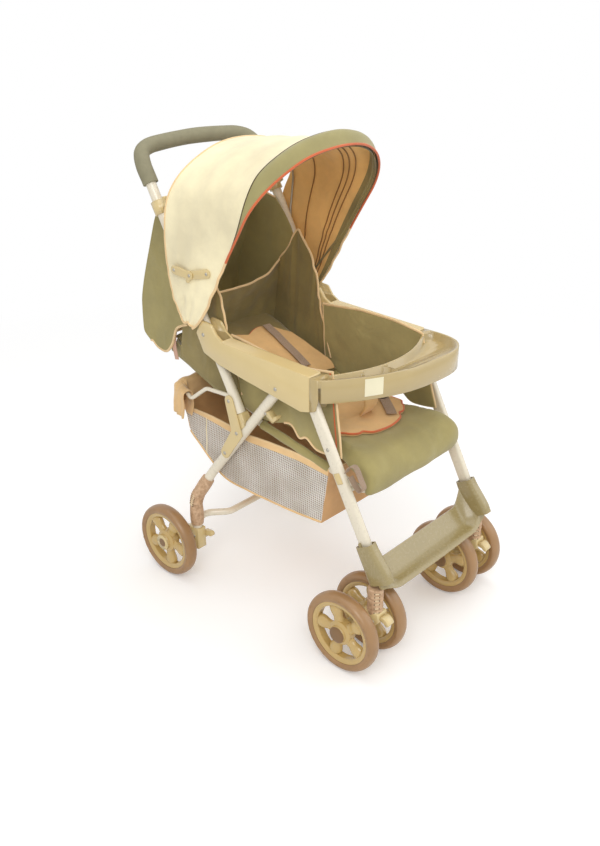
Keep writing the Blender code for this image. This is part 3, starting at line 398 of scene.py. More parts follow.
def piece(name, mesh, finish, body, slot, *replaces):
    """A visible piece on a body, in place of the nodes that it replaces."""
    thing = bpy.data.objects.new(name, mesh)
    mesh.materials.clear()
    mesh.materials.append(finish)
    PARTS.objects.link(thing)
    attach(thing, body)
    if replaces:
        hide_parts(*replaces)
    return thing


def grid(across, down, spot, closed=False):
    """A mesh whose points follow spot(u, v)."""
    columns = across if closed else across + 1
    verts = [spot(i / across, j / down) for j in range(down + 1) for i in range(columns)]
    faces = []
    for j in range(down):
        for i in range(across):
            k = (i + 1) % columns
            faces.append((j * columns + i, j * columns + k, (j + 1) * columns + k, (j + 1) * columns + i))
    return solid("grid", verts, faces)


def row(spot, v, count):
    """Points across spot(u, v) at one v."""
    return [spot(k / count, v) for k in range(count + 1)]


def column(spot, u, count):
    """Points down spot(u, v) at one u."""
    return [spot(u, k / count) for k in range(count + 1)]


def round_edge(spot, across):
    """Points down the first side of spot(u, v), across its end and back up the other side."""
    return column(spot, 0.0, 30) + row(spot, 1.0, across)[1:] + [spot(1.0, 1 - k / 30) for k in range(1, 31)]


def shifted(path, x=0.0, z=0.0):
    return [p + Vector((x, 0, z)) for p in path]


def shell(mesh, thickness, levels=0, bevel=0.0, offset=0.0):
    """A sheet given its thickness."""
    thing = temporary(mesh)
    if levels:
        modifier(thing, "SUBSURF", levels=levels, render_levels=levels)
    modifier(thing, "SOLIDIFY", thickness=thickness, offset=offset)
    if bevel:
        modifier(thing, "BEVEL", width=bevel, segments=2, limit_method="ANGLE")
    return outward(baked(thing, 45))


def rounded(points, radius, steps=8):
    """A path through the points with its corners rounded."""
    points = [Vector(p) for p in points]
    path = [points[0]]
    for before, corner, after in zip(points, points[1:], points[2:]):
        back = (before - corner).normalized()
        ahead = (after - corner).normalized()
        half = back.angle(ahead) / 2
        reach = min(radius / math.tan(half), 0.48 * (before - corner).length, 0.48 * (after - corner).length)
        size = reach * math.tan(half)
        centre = corner + (back + ahead).normalized() * (size / math.sin(half))
        first = (corner + back * reach - centre).normalized()
        last = (corner + ahead * reach - centre).normalized()
        for step in range(steps + 1):
            path.append(centre + first.slerp(last, step / steps) * size)
    path.append(points[-1])
    return path


def both_sides(half):
    """World points of (x, profile point) pairs: on the right, then back on the left."""
    return [place(-x, p) for x, p in half] + [place(x, p) for x, p in reversed(half)]


def tube(points, radius, radii=None, sides=8):
    """A round bar, cord or piping through world points."""
    curve = bpy.data.curves.new("tube", "CURVE")
    curve.dimensions = "3D"
    curve.bevel_depth = radius
    curve.bevel_resolution = sides
    curve.use_fill_caps = True
    line = curve.splines.new("POLY")
    line.points.add(len(points) - 1)
    for index, (knot, point) in enumerate(zip(line.points, points)):
        knot.co = (*point, 1.0)
        if radii:
            knot.radius = radii[index]
    return weld(baked(temporary(curve)))


def piped(name, path, finish, body, radius, slot="tan_cloth"):
    """Piping, binding or a seam along a path."""
    return piece(name, tube(path, radius, sides=4), finish, body, slot)


def turned(profile, segments=64):
    """A ring round the X axis at the origin, from a closed profile of (radius, x)."""
    curve = bpy.data.curves.new("profile", "CURVE")
    curve.dimensions = "3D"
    line = curve.splines.new("POLY")
    line.points.add(len(profile) - 1)
    for knot, (radius, x) in zip(line.points, profile):
        knot.co = (x, 0.0, radius, 1.0)
    line.use_cyclic_u = True
    thing = temporary(curve)
    modifier(thing, "SCREW", axis="X", steps=segments, render_steps=segments, use_merge_vertices=True,
             merge_threshold=1e-5)
    return weld(baked(thing), 40)


def refined(name, finish, degrees, slot, bevel=0.0):
    """A smoothly shaded copy of a CAD node, with softened edges."""
    mesh = weld(frame["nodes"][name].data.copy(), degrees)
    mesh.materials.clear()
    if bevel:
        thing = temporary(mesh)
        modifier(thing, "BEVEL", width=bevel, segments=2, limit_method="ANGLE",
                 angle_limit=math.radians(degrees))
        mesh = baked(thing, degrees)
    return piece("shown_" + name, mesh, finish, BODY_OF[name], slot, name)


def join(meshes):
    work = bmesh.new()
    for mesh in meshes:
        work.from_mesh(mesh)
    made = bpy.data.meshes.new("joined")
    work.to_mesh(made)
    work.free()
    return smooth(made)


def moved(mesh, matrix):
    copy = mesh.copy()
    copy.transform(matrix)
    return copy


def surface_of(thing):
    """A search tree of a piece's surface, to lay other pieces on."""
    mesh = thing.data
    corners = [v.co.copy() for v in mesh.vertices]
    return BVHTree.FromPolygons(corners, [list(p.vertices) for p in mesh.polygons])


def laid(tree, point, way, lift, reach):
    """The point where a ray meets a surface, lifted off it, or None."""
    hit = tree.ray_cast(point, way, reach)[0]
    return None if hit is None else hit - way * lift


def sheet_area(spot, across=40, down=60):
    mesh = grid(across, down, spot)
    area = sum(p.area for p in mesh.polygons)
    bpy.data.meshes.remove(mesh)
    return area


def sheet(name, spot, columns, rows, thickness, finish, body, slot, bevel=0.0,
          replaces=()):
    """A cloth that follows spot(u, v). Its flat area is worked out but not kept."""
    mesh = shell(grid(columns, rows, spot), thickness, bevel=bevel)
    thing = piece(name, mesh, finish, body, slot, *replaces)
    sheet_area(spot)
    return thing


def wrinkled(mesh, size, depth, seed=0.0):
    for vert in mesh.vertices:
        spot = vert.co * size + Vector((seed, seed * 0.7, 0))
        fold = noise.noise(spot) + 0.5 * noise.noise(spot * 2.3)
        vert.co += vert.normal * fold * depth
    return mesh


def swollen(mesh, cap):
    """A pad blown up by cloth simulation, with each point's travel capped."""
    thing = temporary(mesh)
    modifier(thing, "REMESH", mode="VOXEL", voxel_size=0.005)
    body = baked(thing)
    start = [v.co.copy() for v in body.vertices]
    thing = temporary(body)
    puff = modifier(thing, "CLOTH")
    puff.settings.effector_weights.gravity = 0.0
    puff.settings.use_pressure = True
    puff.settings.uniform_pressure_force = 4.0
    puff.settings.tension_stiffness = 12.0
    puff.settings.bending_stiffness = 0.6
    puff.settings.quality = 5
    frames = 20
    puff.point_cache.frame_end = frames
    for number in range(1, frames + 1):
        bpy.context.scene.frame_set(number)
    shaped = baked(thing)
    bpy.context.scene.frame_set(1)
    for vert, origin in zip(shaped.vertices, start):
        travel = vert.co - origin
        if travel.length > cap:
            vert.co = origin + travel.normalized() * cap
    return smooth(shaped, 80)


def flat_strap(name, path, width, thick, finish, body, side=Vector((1, 0, 0)), replaces=()):
    """Webbing or a cloth strap along a path, flat across the side direction."""
    def spot(u, v):
        ahead = bearing(path, v)
        across = (side - ahead * (side.dot(ahead) / max(ahead.length_squared, 1e-9))).normalized()
        return through(path, v) + across * (u - 0.5) * width

    return piece(name, shell(grid(4, 40, spot), thick, bevel=0.0003), finish, body, "tan_cloth", *replaces)


# Camera, light and floor

def stand(name, data, spot, way):
    """A camera or lamp at a spot, turned to look along a way."""
    thing = bpy.data.objects.new(name, data)
    thing.location = spot
    thing.rotation_mode = "QUATERNION"
    thing.rotation_quaternion = way.to_track_quat("-Z", "Y")
    bpy.context.scene.collection.objects.link(thing)
    return thing


def stage_set():
    """The camera at the photograph's angle, a pale floor that keeps the shadow, and soft lamps."""
    scene = bpy.context.scene
    view = bpy.data.cameras.new("camera")
    view.sensor_fit = "AUTO"
    view.sensor_width = 36.0
    view.lens = 38.47
    eye = Vector((-1.3635, -0.9198 - MIDDLE_Y, 1.2591))
    scene.camera = stand("camera", view, eye, Vector((0.6659, 0.6061, -0.4351)))
    floor_mesh = grid(1, 1, lambda u, v: Vector((u * 30 - 15, v * 30 - 15, 0.0)))
    floor = bpy.data.objects.new("floor", floor_mesh)
    scene.collection.objects.link(floor)
    made, tree, shader = start_material("pale floor")
    seen = node(tree, "ShaderNodeLightPath").outputs["Is Camera Ray"]
    fill(shader, {"Base Color": (0.92, 0.92, 0.92, 1.0), "Roughness": 0.8, "Emission Color": WHITE,
                  "Emission Strength": maths(tree, "MULTIPLY", seen, 0.16)})
    reach = node(tree, "ShaderNodeVectorMath", {0: object_point(tree)}, operation="LENGTH").outputs["Value"]
    away = node(tree, "ShaderNodeMapRange", {
        "Value": reach, "From Min": 0.9, "From Max": 2.2}).outputs["Result"]
    white = node(tree, "ShaderNodeEmission", {"Color": WHITE})
    fade = node(tree, "ShaderNodeMixShader", {
        "Fac": maths(tree, "MULTIPLY", seen, away), 1: shader.outputs[0], 2: white.outputs[0]})
    fill(tree.nodes["Material Output"], {"Surface": fade.outputs[0]})
    floor_mesh.materials.append(made)
    for name, spot, size, power in (
        ("key", (-1.9, -1.6, 2.6), 1.8, 40.0),
        ("fill", (1.8, -2.0, 2.0), 2.4, 22.0),
        ("top", (0.2, 0.3, 3.0), 2.6, 24.0),
    ):
        lamp = bpy.data.lights.new(name, "AREA")
        lamp.size = size
        lamp.energy = power
        stand(name, lamp, spot, Vector((0, 0, 0.5)) - Vector(spot))
    world = bpy.data.worlds.new("studio")
    world.use_nodes = True
    scene.world = world
    tree = world.node_tree
    soft = fill(tree.nodes["Background"], {"Color": (1.0, 0.985, 0.96, 1.0), "Strength": 0.62})
    bright = node(tree, "ShaderNodeBackground", {"Color": WHITE})
    rays = node(tree, "ShaderNodeLightPath").outputs
    mirrored = maths(tree, "MAXIMUM", rays["Is Glossy Ray"], rays["Is Transmission Ray"])
    blend = node(tree, "ShaderNodeMixShader", {
        "Fac": maths(tree, "MAXIMUM", rays["Is Camera Ray"], mirrored), 1: soft.outputs[0],
        2: bright.outputs[0]})
    fill(tree.nodes["World Output"], {"Surface": blend.outputs[0]})
    scene.view_settings.view_transform = "Standard"


# Wheels

SPOKE = ((0.019, 0.0140), (0.026, 0.0118), (0.034, 0.0110), (0.041, 0.0128), (0.047, 0.0150), (0.053, 0.0158),
         (0.0575, 0.0142), (0.0605, 0.0105))


def wheel_mesh():
    """A moulded wheel: its rim, its hub and five bulbous spokes."""
    edge = WHEEL_RADIUS - 0.0175
    rim = turned([(edge - deep, wide) for deep, wide in (
        (0.0, -0.0115), (0.0, 0.0115), (0.002, 0.0120), (0.0075, 0.0105), (0.0105, 0.0075),
        (0.0105, -0.0075), (0.0075, -0.0105), (0.002, -0.0120))])
    half = [(0.0265, 0.0090), (0.0190, 0.0125), (0.0185, 0.0155), (0.0175, 0.0168), (0.0045, 0.0168)]
    hub = turned([(radius, -x) for radius, x in reversed(half)] + half, 48)

    def spot(u, v):
        distance, size = between(SPOKE, v)
        angle = math.tau * u
        thick = 0.0095 * min(1.1, size / 0.0125)
        return Vector((thick * math.sin(angle), size * math.cos(angle), distance))

    spoke = smooth(outward(grid(20, 14, spot, True)), 80)
    spokes = [moved(spoke, Matrix.Rotation(math.tau * k / 5 + 0.93, 4, "X")) for k in range(5)]
    return join([rim, hub] + spokes)


def tyre_mesh():
    base = WHEEL_RADIUS - 0.0172
    wall = [(base, 0.0122), (base + 0.003, 0.0142), (base + 0.0085, 0.0150)]
    tread = []
    for k in range(9):
        angle = math.pi * k / 8
        tread.append((base + 0.0095 + 0.0077 * math.sin(angle), -0.0148 * math.cos(angle)))
    return turned([(radius, -x) for radius, x in wall] + tread + wall[::-1], 96)


def tyre_marks():
    """Short raised bars in two arcs on both walls of a tyre, as plain marks."""
    bars = bmesh.new()
    for way in (-1, 1):
        for number in range(26):
            if number % 13 > 8:
                continue
            size = (0.0012, 0.0042 if number % 2 else 0.0058, 0.0014 if number % 3 else 0.0030, 1.0)
            at = (Matrix.Rotation(math.tau * number / 26, 4, "X")
                  @ Matrix.Translation((way * 0.0150, 0.0, WHEEL_RADIUS - 0.0085)) @ Matrix.Diagonal(size))
            bmesh.ops.create_cube(bars, size=1.0, matrix=at)
    mesh = bpy.data.meshes.new("marks")
    bars.to_mesh(mesh)
    bars.free()
    return mesh


def wheels():
    """The six wheels with their tyres and hub caps, and the castors' axles."""
    wheel = wheel_mesh()
    tyre = join([tyre_mesh(), tyre_marks()])
    cap = turned([(0.0002, 0.0), (0.0178, 0.0), (0.0182, 0.0012), (0.0165, 0.0026), (0.0090, 0.0031),
                  (0.0002, 0.0032)], 40)
    spots = []
    for side, sign in SIDES:
        spots += [
            ("front", f"{side}_outer", sign * 0.226, 0.0, sign, f"castor_{side}"),
            ("front", f"{side}_inner", sign * 0.134, 0.0, -sign, f"castor_{side}"),
            ("rear", side, sign * 0.242, REAR_AXLE_Y, sign, "rear_frame"),
        ]
    for number, (end, which, x, y, way, holder) in enumerate(spots):
        name = f"{end}_wheel_{which}"
        tyre_name = f"{end}_tyre_{which}"
        at = Matrix.Translation(place(x, (y, WHEEL_RADIUS))) @ Matrix.Rotation(number * 0.41, 4, "X")
        piece("spoked_" + name, moved(wheel, at), WHEEL_PLASTIC, BODY_OF[name], "wheel_plastic", name)
        piece("rounded_" + tyre_name, moved(tyre, at), TYRE, BODY_OF[name], "tyre", tyre_name)
        turn = Matrix.Translation(place(x + way * 0.0173, (y, WHEEL_RADIUS)))
        if way < 0:
            turn = turn @ Matrix.Rotation(math.pi, 4, "Z")
        piece("hub_cap_" + name, moved(cap, turn), CAP_PLASTIC, holder, "wheel_plastic")
    for side, sign in SIDES:
        ends = [place(sign * CASTOR_X + reach, (0.0, WHEEL_RADIUS)) for reach in (-0.0625, 0.0625)]
        piece(f"axle_bar_{side}", tube(ends, 0.0039), STEEL, f"castor_{side}", "steel", f"castor_axle_{side}")


# Frame

MOULDINGS = (
    # the node's name without its side, the angle that stays sharp, and the width of its softened edges
    ("armrest", 30, 0.0), ("fold_plate", 40, 0.0006), ("fold_catch", 40, 0.0), ("handle_clip", 40, 0.0),
    ("handle_saddle", 30, 0.0), ("rear_bracket", 30, 0.0), ("brake_lever", 30, 0.0),
    ("castor_housing", 35, 0.0),
    ("castor_lock", 35, 0.0), ("canopy_stay_rear", 40, 0.0006), ("canopy_stay_front", 40, 0.0006),
)
HANDLE_KNOTS = ((HANDLE_X, 0.300, 0.0), (HANDLE_X, 0.335, 0.0), (0.168, 0.368, 0.003), (0.155, 0.396, 0.010),
                (0.128, 0.410, 0.015), (0.090, 0.415, 0.017), (0.045, 0.418, 0.018), (0.0, 0.4195, 0.019))


def handle_line(start):
    """The push handle's line, from a distance up the right tube over the bowed top to the left one."""
    def spot(x, up, back):
        return place(x, along(along(HANDLE_PIVOT, HANDLE_ANGLE, up), HANDLE_ANGLE - math.pi / 2, back))

    knots = [spot(-x, up, back) for x, up, back in HANDLE_KNOTS]
    knots += [spot(x, up, back) for x, up, back in HANDLE_KNOTS[-2::-1]]
    high = place(0, along(HANDLE_PIVOT, HANDLE_ANGLE, start)).z
    curve = [p for p in (through(knots, k / 140) for k in range(141)) if p.z > high + 0.004]
    return [spot(-HANDLE_X, start, 0.0)] + curve + [spot(HANDLE_X, start, 0.0)]


def back_point(x, reach, height):
    """A point of the backrest, by its reach up from the hinge and its height above the rail."""
    return place(x, along(along(BACK_HINGE, BACK_ANGLE, reach), BACK_ANGLE + math.pi / 2, height))


def staples(name, spots, body):
    """Wire staples in a wrapping: short bars that lie across it, with dark ends."""
    bars = [tube([point - way * 0.0042, point + way * 0.0042], 0.0007, sides=3) for point, way in spots]
    piece(name, join(bars), THREAD, body, "steel")
    ends = []
    for point, way in spots:
        for sign in (-1, 1):
            middle = point + way * sign * 0.0050
            ends.append(tube([middle - way * 0.0008, middle + way * 0.0008], 0.0010, sides=3))
    piece(name + "_ends", join(ends), STAPLE, body, "steel")


def rear_legs():
    """The rear legs with their brown wrapping, and the bent tube between them."""
    fall = heading(REAR_LEG_PIVOT, REAR_LEG_KNEE)
    for side, sign in SIDES:
        leg = rounded([
            place(sign * HANDLE_X, along(REAR_LEG_PIVOT, fall, -0.010)),
            place(sign * HANDLE_X, REAR_LEG_KNEE),
            place(sign * REAR_STEM_X, (REAR_STEM_Y, 0.205)), place(sign * REAR_STEM_X, (REAR_STEM_Y, 0.1285)),
        ], 0.06)
        piece(f"rear_tube_{side}", tube(leg, TUBE_RADIUS), ENAMEL, "rear_frame", "enamel", f"rear_leg_{side}")
        turns = [through(leg[9:], 0.02 + 0.96 * k / 60) for k in range(61)]
        radii = [1.0 + 0.07 * ((k % 6) / 6) + 0.04 * math.sin(k * 0.9) for k in range(61)]
        piece(f"leg_wrapping_{side}", tube(turns, 0.0146, radii), WRAPPING, "rear_frame", "tan_cloth")
        across = Vector((0, 0.8, 0.6))
        spots = [(turns[k] + Vector((sign * 0.0150, 0, 0)), across) for k in (14, 20, 26, 33, 40, 47, 54)]
        staples(f"leg_staples_{side}", spots, "rear_frame")
    end = REAR_STEM_X - 0.0113
    level = 0.150
    bar = rounded(both_sides([(end, (REAR_STEM_Y, level)), (end - 0.022, (REAR_STEM_Y, level)),
                              (end - 0.060, (REAR_STEM_Y - 0.034, level))]), 0.03)
    piece("cross_tube", tube(bar, 0.008), ENAMEL, "rear_frame", "enamel", "rear_cross_bar")


def frame_tubes():
    """The bent tubes, rails and wires, and the moulded parts, whose shapes come from the frame."""
    piece("handle_tube", tube(handle_line(-0.180), TUBE_RADIUS), ENAMEL, "handle", "enamel",
          "push_handle_tube")
    grip = handle_line(0.328)
    swell = [1.0 + 0.012 * math.sin(k * 0.21) for k in range(len(grip))]
    piece("foam_grip", tube(grip, 0.0165, swell), FOAM, "handle", "foam", "handle_grip")
    rear_legs()
    reaches = [along(SEAT_PIVOT, SEAT_SLOPE, reach) for reach in (0.287, -0.022)]
    rail = rounded(both_sides([(SEAT_RAIL_X, point) for point in reaches]), 0.016)
    pins = [tube([place(s * SEAT_RAIL_X, SEAT_PIVOT), place(s * 0.1686, SEAT_PIVOT)], 0.005) for s in (-1, 1)]
    piece("seat_rail", join([tube(rail, 0.007)] + pins), ENAMEL, "seat", "enamel", "seat_frame")
    for side, sign in SIDES:
        sleeve = [place(sign * SEAT_RAIL_X, along(SEAT_PIVOT, SEAT_SLOPE, mix(0.070, 0.262, k / 16)))
                  for k in range(17)]
        swell = [1.0 + 0.05 * math.sin(k * 1.3) for k in range(17)]
        piece(f"rail_sleeve_{side}", tube(sleeve, 0.0092, swell), OLIVE_CLOTH, "seat", "olive_cloth")
    wire = rounded(both_sides([(0.170, (0.3672, 0.478)), (0.170, (0.440, 0.474)), (0.170, (0.492, 0.434)),
                               (0.148, (0.556, 0.442))]), 0.025)
    piece("basket_rim_wire", tube(wire, 0.0045), ENAMEL, "handle", "enamel", "basket_wire")
    corners = ((-BACK_RAIL_X, -0.004), (-BACK_RAIL_X, 0.300), (BACK_RAIL_X, 0.300), (BACK_RAIL_X, -0.004))
    back = rounded([back_point(x, reach, 0) for x, reach in corners], 0.030)
    piece("back_rail", tube(back, 0.006), ENAMEL, "backrest", "enamel", "backrest_frame")
    for side, sign in SIDES:
        refined(f"front_leg_{side}", ENAMEL, 30, "enamel")
        for name, degrees, bevel in MOULDINGS:
            refined(f"{name}_{side}", PLASTIC, degrees, "beige_plastic", bevel)
    refined("tray", TRAY_PLASTIC, 30, "beige_plastic")
    refined("canopy_front_bow", DARK_CLOTH, 40, "steel")
    refined("canopy_rear_bow", STEEL, 40, "steel")


# Down the front leg: the reach along it, and half of the socket's depth and width there
SOCKET = ((0.006, 0.0175, 0.0110), (-0.010, 0.0185, 0.0113), (-0.035, 0.0215, 0.0115),
          (-0.058, 0.0245, 0.0112),
          (-0.074, 0.0250, 0.0095))


def squared(turn):
    """The two ends of a turning arm, pushed out towards the corners of a square."""
    return [math.copysign(abs(share) ** 0.45, share) for share in (math.cos(turn), math.sin(turn))]


def footrest():
    """The moulded step that flows up into a socket round each leg's foot."""
    def spot(u, v):
        side = abs(2 * u - 1)
        climb = step_between(side, 0.70, 1.0)
        rear = (-0.014 + 0.012 * climb, 0.222 + 0.058 * climb ** 1.4)
        front = (-0.073 + 0.010 * climb, 0.190 + 0.012 * climb)
        hollow = -0.013 * math.sin(math.pi * v) * (1 - climb)
        bow = -0.003 * (1 - side ** 2) * v
        lip = -0.006 * step_between(v, 0.86, 1.0)
        point = (mix(rear[0], front[0], v) + bow, mix(rear[1], front[1], v) + hollow + lip)
        return place((2 * u - 1) * 0.1865, point)

    parts = [shell(grid(48, 14, spot), 0.005, levels=1)]
    for side, sign in SIDES:
        def wall(u, v, sign=sign):
            reach, half_y, half_x = between(SOCKET, v)
            centre = along(FRONT_LEG_FOOT, FRONT_LEG_ANGLE, reach)
            centre = (centre[0] - 0.006 * step_between(-reach, 0.0, 0.06), centre[1])
            across, down = squared(math.tau * u)
            point = along(centre, FRONT_LEG_ANGLE + math.pi / 2, -down * half_y)
            return place(sign * FRONT_LEG_X + across * half_x, (point[0], max(point[1], 0.1925)))

        parts.append(shell(grid(40, 16, wall, True), 0.003, offset=-1.0))
        floor = [wall(k / 40, 1.0) for k in range(40)]
        parts.append(shell(solid("floor", floor, [tuple(range(40))]), 0.002))
    piece("step_moulding", join(parts), STEP_PLASTIC, "front_frame", "olive_plastic", "footrest")


def wrappings():
    """Brown wrapping in bands round the castor stems, with its staples."""
    out = Vector((-0.66, -0.75, 0)).normalized()
    across = Vector((0.75, -0.66, 0))
    for side, sign in SIDES:
        x = sign * CASTOR_X
        points = [place(x, (STEM_Y, mix(0.1925, 0.134, k / 40))) for k in range(41)]
        radii = [1.0 + 0.07 * math.sin(math.pi * (k % 8) / 8) ** 0.4 + 0.02 * math.sin(k * 1.1)
                 for k in range(41)]
        piece(f"stem_wrapping_{side}", tube(points, 0.0152, radii), WRAPPING, f"castor_{side}", "tan_cloth")
        heights = (0.186, 0.178, 0.170, 0.161, 0.151, 0.141)
        spots = [(place(x, (STEM_Y, z)) + out * 0.0158, across) for z in heights]
        staples(f"stem_staples_{side}", spots, f"castor_{side}")


# Canopy: u runs from its rear edge to its front edge, and t over its arch, from 0 on the left to 2

CANOPY_LOW = 0.03
BAND_START = 0.31
ARCH_CORNER = 0.45
ARCH_SHOULDER = 0.662
ARCH_ROUND = 0.959


def canopy_point(u, t, inset=0.0):
    """A point of the canopy's even shape, inside it by the inset."""
    half = min(t, 2.0 - t)
    if half < ARCH_CORNER:
        share = ARCH_SHOULDER * half / ARCH_CORNER
        width = 1.0
    else:
        turn = math.pi / 2 * (half - ARCH_CORNER) / (1.0 - ARCH_CORNER)
        share = ARCH_SHOULDER + (1.0 - ARCH_SHOULDER) * math.sin(turn) ** ARCH_ROUND
        width = max(0.0, math.cos(turn)) ** ARCH_ROUND
    rear_angle = 87.7 - 35.5 * (1.0 - share) ** 1.3
    front_angle = 124.2 + 1.3 * (1.0 - share) + 40.4 * math.exp(-share / 0.15)
    angle = math.radians(mix(rear_angle, front_angle, u))
    height = 0.3723 + 0.0844 * max(0.0, u) ** 1.395 - 0.006 * math.sin(math.pi * u) - inset * 1.4
    height += 0.0297 * math.exp(-((u - 0.9) / 0.08) ** 2)
    x = (CANOPY_HALF - inset) * math.copysign(width, 1.0 - t)
    return place(x, along(CANOPY_TIP, angle, height * share))


def band_edge(t):
    """How far forward the cream cover reaches before the olive band, at a place over the arch."""
    return 1.0 - 0.14 * step_between(min(t, 2.0 - t), BAND_START, 0.72)


def draped(u, t, inset):
    """A point of the canopy's cloth, with soft pulls between its bows and crumpled lower tails."""
    spot = canopy_point(u, t, inset)
    half = min(t, 2.0 - t)
    slack = 1.0 - step_between(half, 0.18, 0.42)
    pull = 0.0016 * math.sin(u * 23 + 4 * math.sin(t * 3)) * math.sin(math.pi * min(1, max(0, u)))
    ripple = noise.noise(spot * 14) * 0.0016
    crumple = rough(5, 26, 3.0, u, half) * 0.0045 * slack
    away = Vector((math.copysign(1, spot.x) * 0.5, 0, 1)).normalized()
    return spot + away * (pull + ripple) + Vector((crumple, 0, 0))


def puckered(u, v):
    """The gathered dark band inside the canopy's front edge."""
    spot = canopy_point(mix(0.90, 0.995, u), mix(CANOPY_LOW, 2 - CANOPY_LOW, v), 0.0048)
    fold = 0.0016 * math.sin(v * 520 + 3 * math.sin(v * 40)) * math.sin(math.pi * u)
    return spot + Vector((-math.copysign(1, spot.x), 0, -0.4)).normalized() * abs(fold)


def canopy():
    """The cream cover, olive band and ochre lining, with their piping and seams, all fixed on the handle."""
    low = CANOPY_LOW
    full = (low, 2 - low)
    banded = (BAND_START, 2 - BAND_START)

    def cover_spot(u, v):
        t = mix(*full, v)
        return draped(mix(0.0, band_edge(t), u), t, 0.0)

    def band_spot(u, v):
        t = mix(BAND_START + 0.012, 1.988 - BAND_START, v)
        return draped(mix(band_edge(t), 1.0, u), t, -0.0008)

    def lining_spot(u, v):
        t = mix(*full, v)
        return draped(mix(0.01 - 0.20 * (1 - step_between(t, 0.34, 0.62)), 0.97, u), t, 0.0030)

    soft = [
        sheet("canopy_cover", cover_spot, 44, 120, 0.0012, CREAM_CLOTH, "handle", "cream_cloth",
              replaces=("canopy",)),
        sheet("canopy_front_band", band_spot, 10, 100, 0.0014, BAND_CLOTH, "handle", "olive_cloth"),
        sheet("canopy_lining", lining_spot, 44, 100, 0.0008, LINING_CLOTH, "handle", "tan_cloth"),
        piece("canopy_inner_band", shell(grid(12, 200, puckered), 0.0008), DARK_CLOTH, "handle",
              "olive_cloth"),
    ]
    lines = [
        ("canopy_orange_piping", lambda t: 1.0, banded, 0.0025, ORANGE_PIPING, -0.0006),
        ("canopy_dark_piping", band_edge, banded, 0.0010, DARK_PIPING, -0.0016),
        ("canopy_rear_binding", lambda t: 0.0, full, 0.0020, TAN_PIPING, -0.0004),
        ("canopy_low_binding_left", lambda t: 1.0, (low, BAND_START), 0.0028, TAN_PIPING, -0.0004),
        ("canopy_low_binding_right", lambda t: 1.0, (2 - BAND_START, 2 - low), 0.0028, TAN_PIPING, -0.0004),
    ]
    for number, u in enumerate((0.33, 0.68, 0.74, 0.80)):
        lines.append((f"lining_seam_{number}", lambda t, u=u: u, full, 0.0014, SEAM_THREAD, 0.0046))
    for name, edge, ends, radius, finish, inset in lines:
        path = [draped(edge(mix(*ends, k / 140)), mix(*ends, k / 140), inset) for k in range(141)]
        soft.append(piped(name, path, finish, "handle", radius))
    for side, sign in SIDES:
        tail = [draped(1.0 - k / 24, low if sign > 0 else 2 - low, -0.0003) for k in range(25)]
        soft.append(piped(f"canopy_tail_binding_{side}", tail, TAN_PIPING, "handle", 0.0026))
    for made in soft:
        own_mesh(made)


# Seat and backrest

SEAT_LINE = [(0.286, 0.446), (0.215, 0.431), (0.145, 0.422), (0.090, 0.416), (0.052, 0.411), (0.024, 0.402),
             (0.011, 0.386), (0.010, 0.362)]
# The lines that find the pads start at this height, or this far off the backrest
SEAT_FINDER = 0.56
SEAT_WAY = Vector((0, 0.25, -1)).normalized()
BACK_FINDER = 0.12
BACK_WAY = (back_point(0, 0, 0) - back_point(0, 0, 1)).normalized()
LAP_STRAPS = {"left": ((0.104, 0.262), (0.062, 0.140)), "right": ((0.092, 0.136), (0.036, 0.066))}


def on_seat(tree, x, y, lift):
    """The point over (x, y) that lies on the seat pad, lifted off it, or None past its edge."""
    return laid(tree, place(x, (y, SEAT_FINDER)), SEAT_WAY, lift, 0.3)


def on_back(tree, x, reach, lift):
    """The point of the backrest pad at a reach up from its hinge, lifted off it, or None past its edge."""
    return laid(tree, back_point(x, reach, BACK_FINDER), BACK_WAY, lift, 0.2)


def pad_block(line, half, depth, crown, border, rows=28, count=28):
    """A closed pad along a profile line, thinner towards its edges, from widths and depths over v."""
    verts = []
    for j in range(rows + 1):
        v = j / rows
        near = bearing(line, v)
        end = math.sin(math.pi * min(1.0, max(0.0, v * 0.94 + 0.03))) ** 0.28
        for k in range(count):
            turn = math.tau * k / count
            side = math.copysign(abs(math.cos(turn)) ** 0.35, math.cos(turn))
            lift = math.copysign(abs(math.sin(turn)) ** 0.75, math.sin(turn))
            full = depth(v) / 2 * end * (0.75 + 0.25 * (1 - side * side))
            up = lift * full
            up += max(0.0, lift) * end * (crown * (1 - side * side) + border(v) * abs(side) ** 3)
            point = along(through(line, v), math.atan2(near.y, near.x) - math.pi / 2, up)
            verts.append(place(side * half(v), point))
    faces = []
    for j in range(rows):
        for k in range(count):
            a, b = j * count + k, j * count + (k + 1) % count
            faces.append((a, b, b + count, a + count))
    faces += [tuple(range(count))[::-1], tuple(range(rows * count, (rows + 1) * count))]
    return outward(solid("pad", verts, faces))


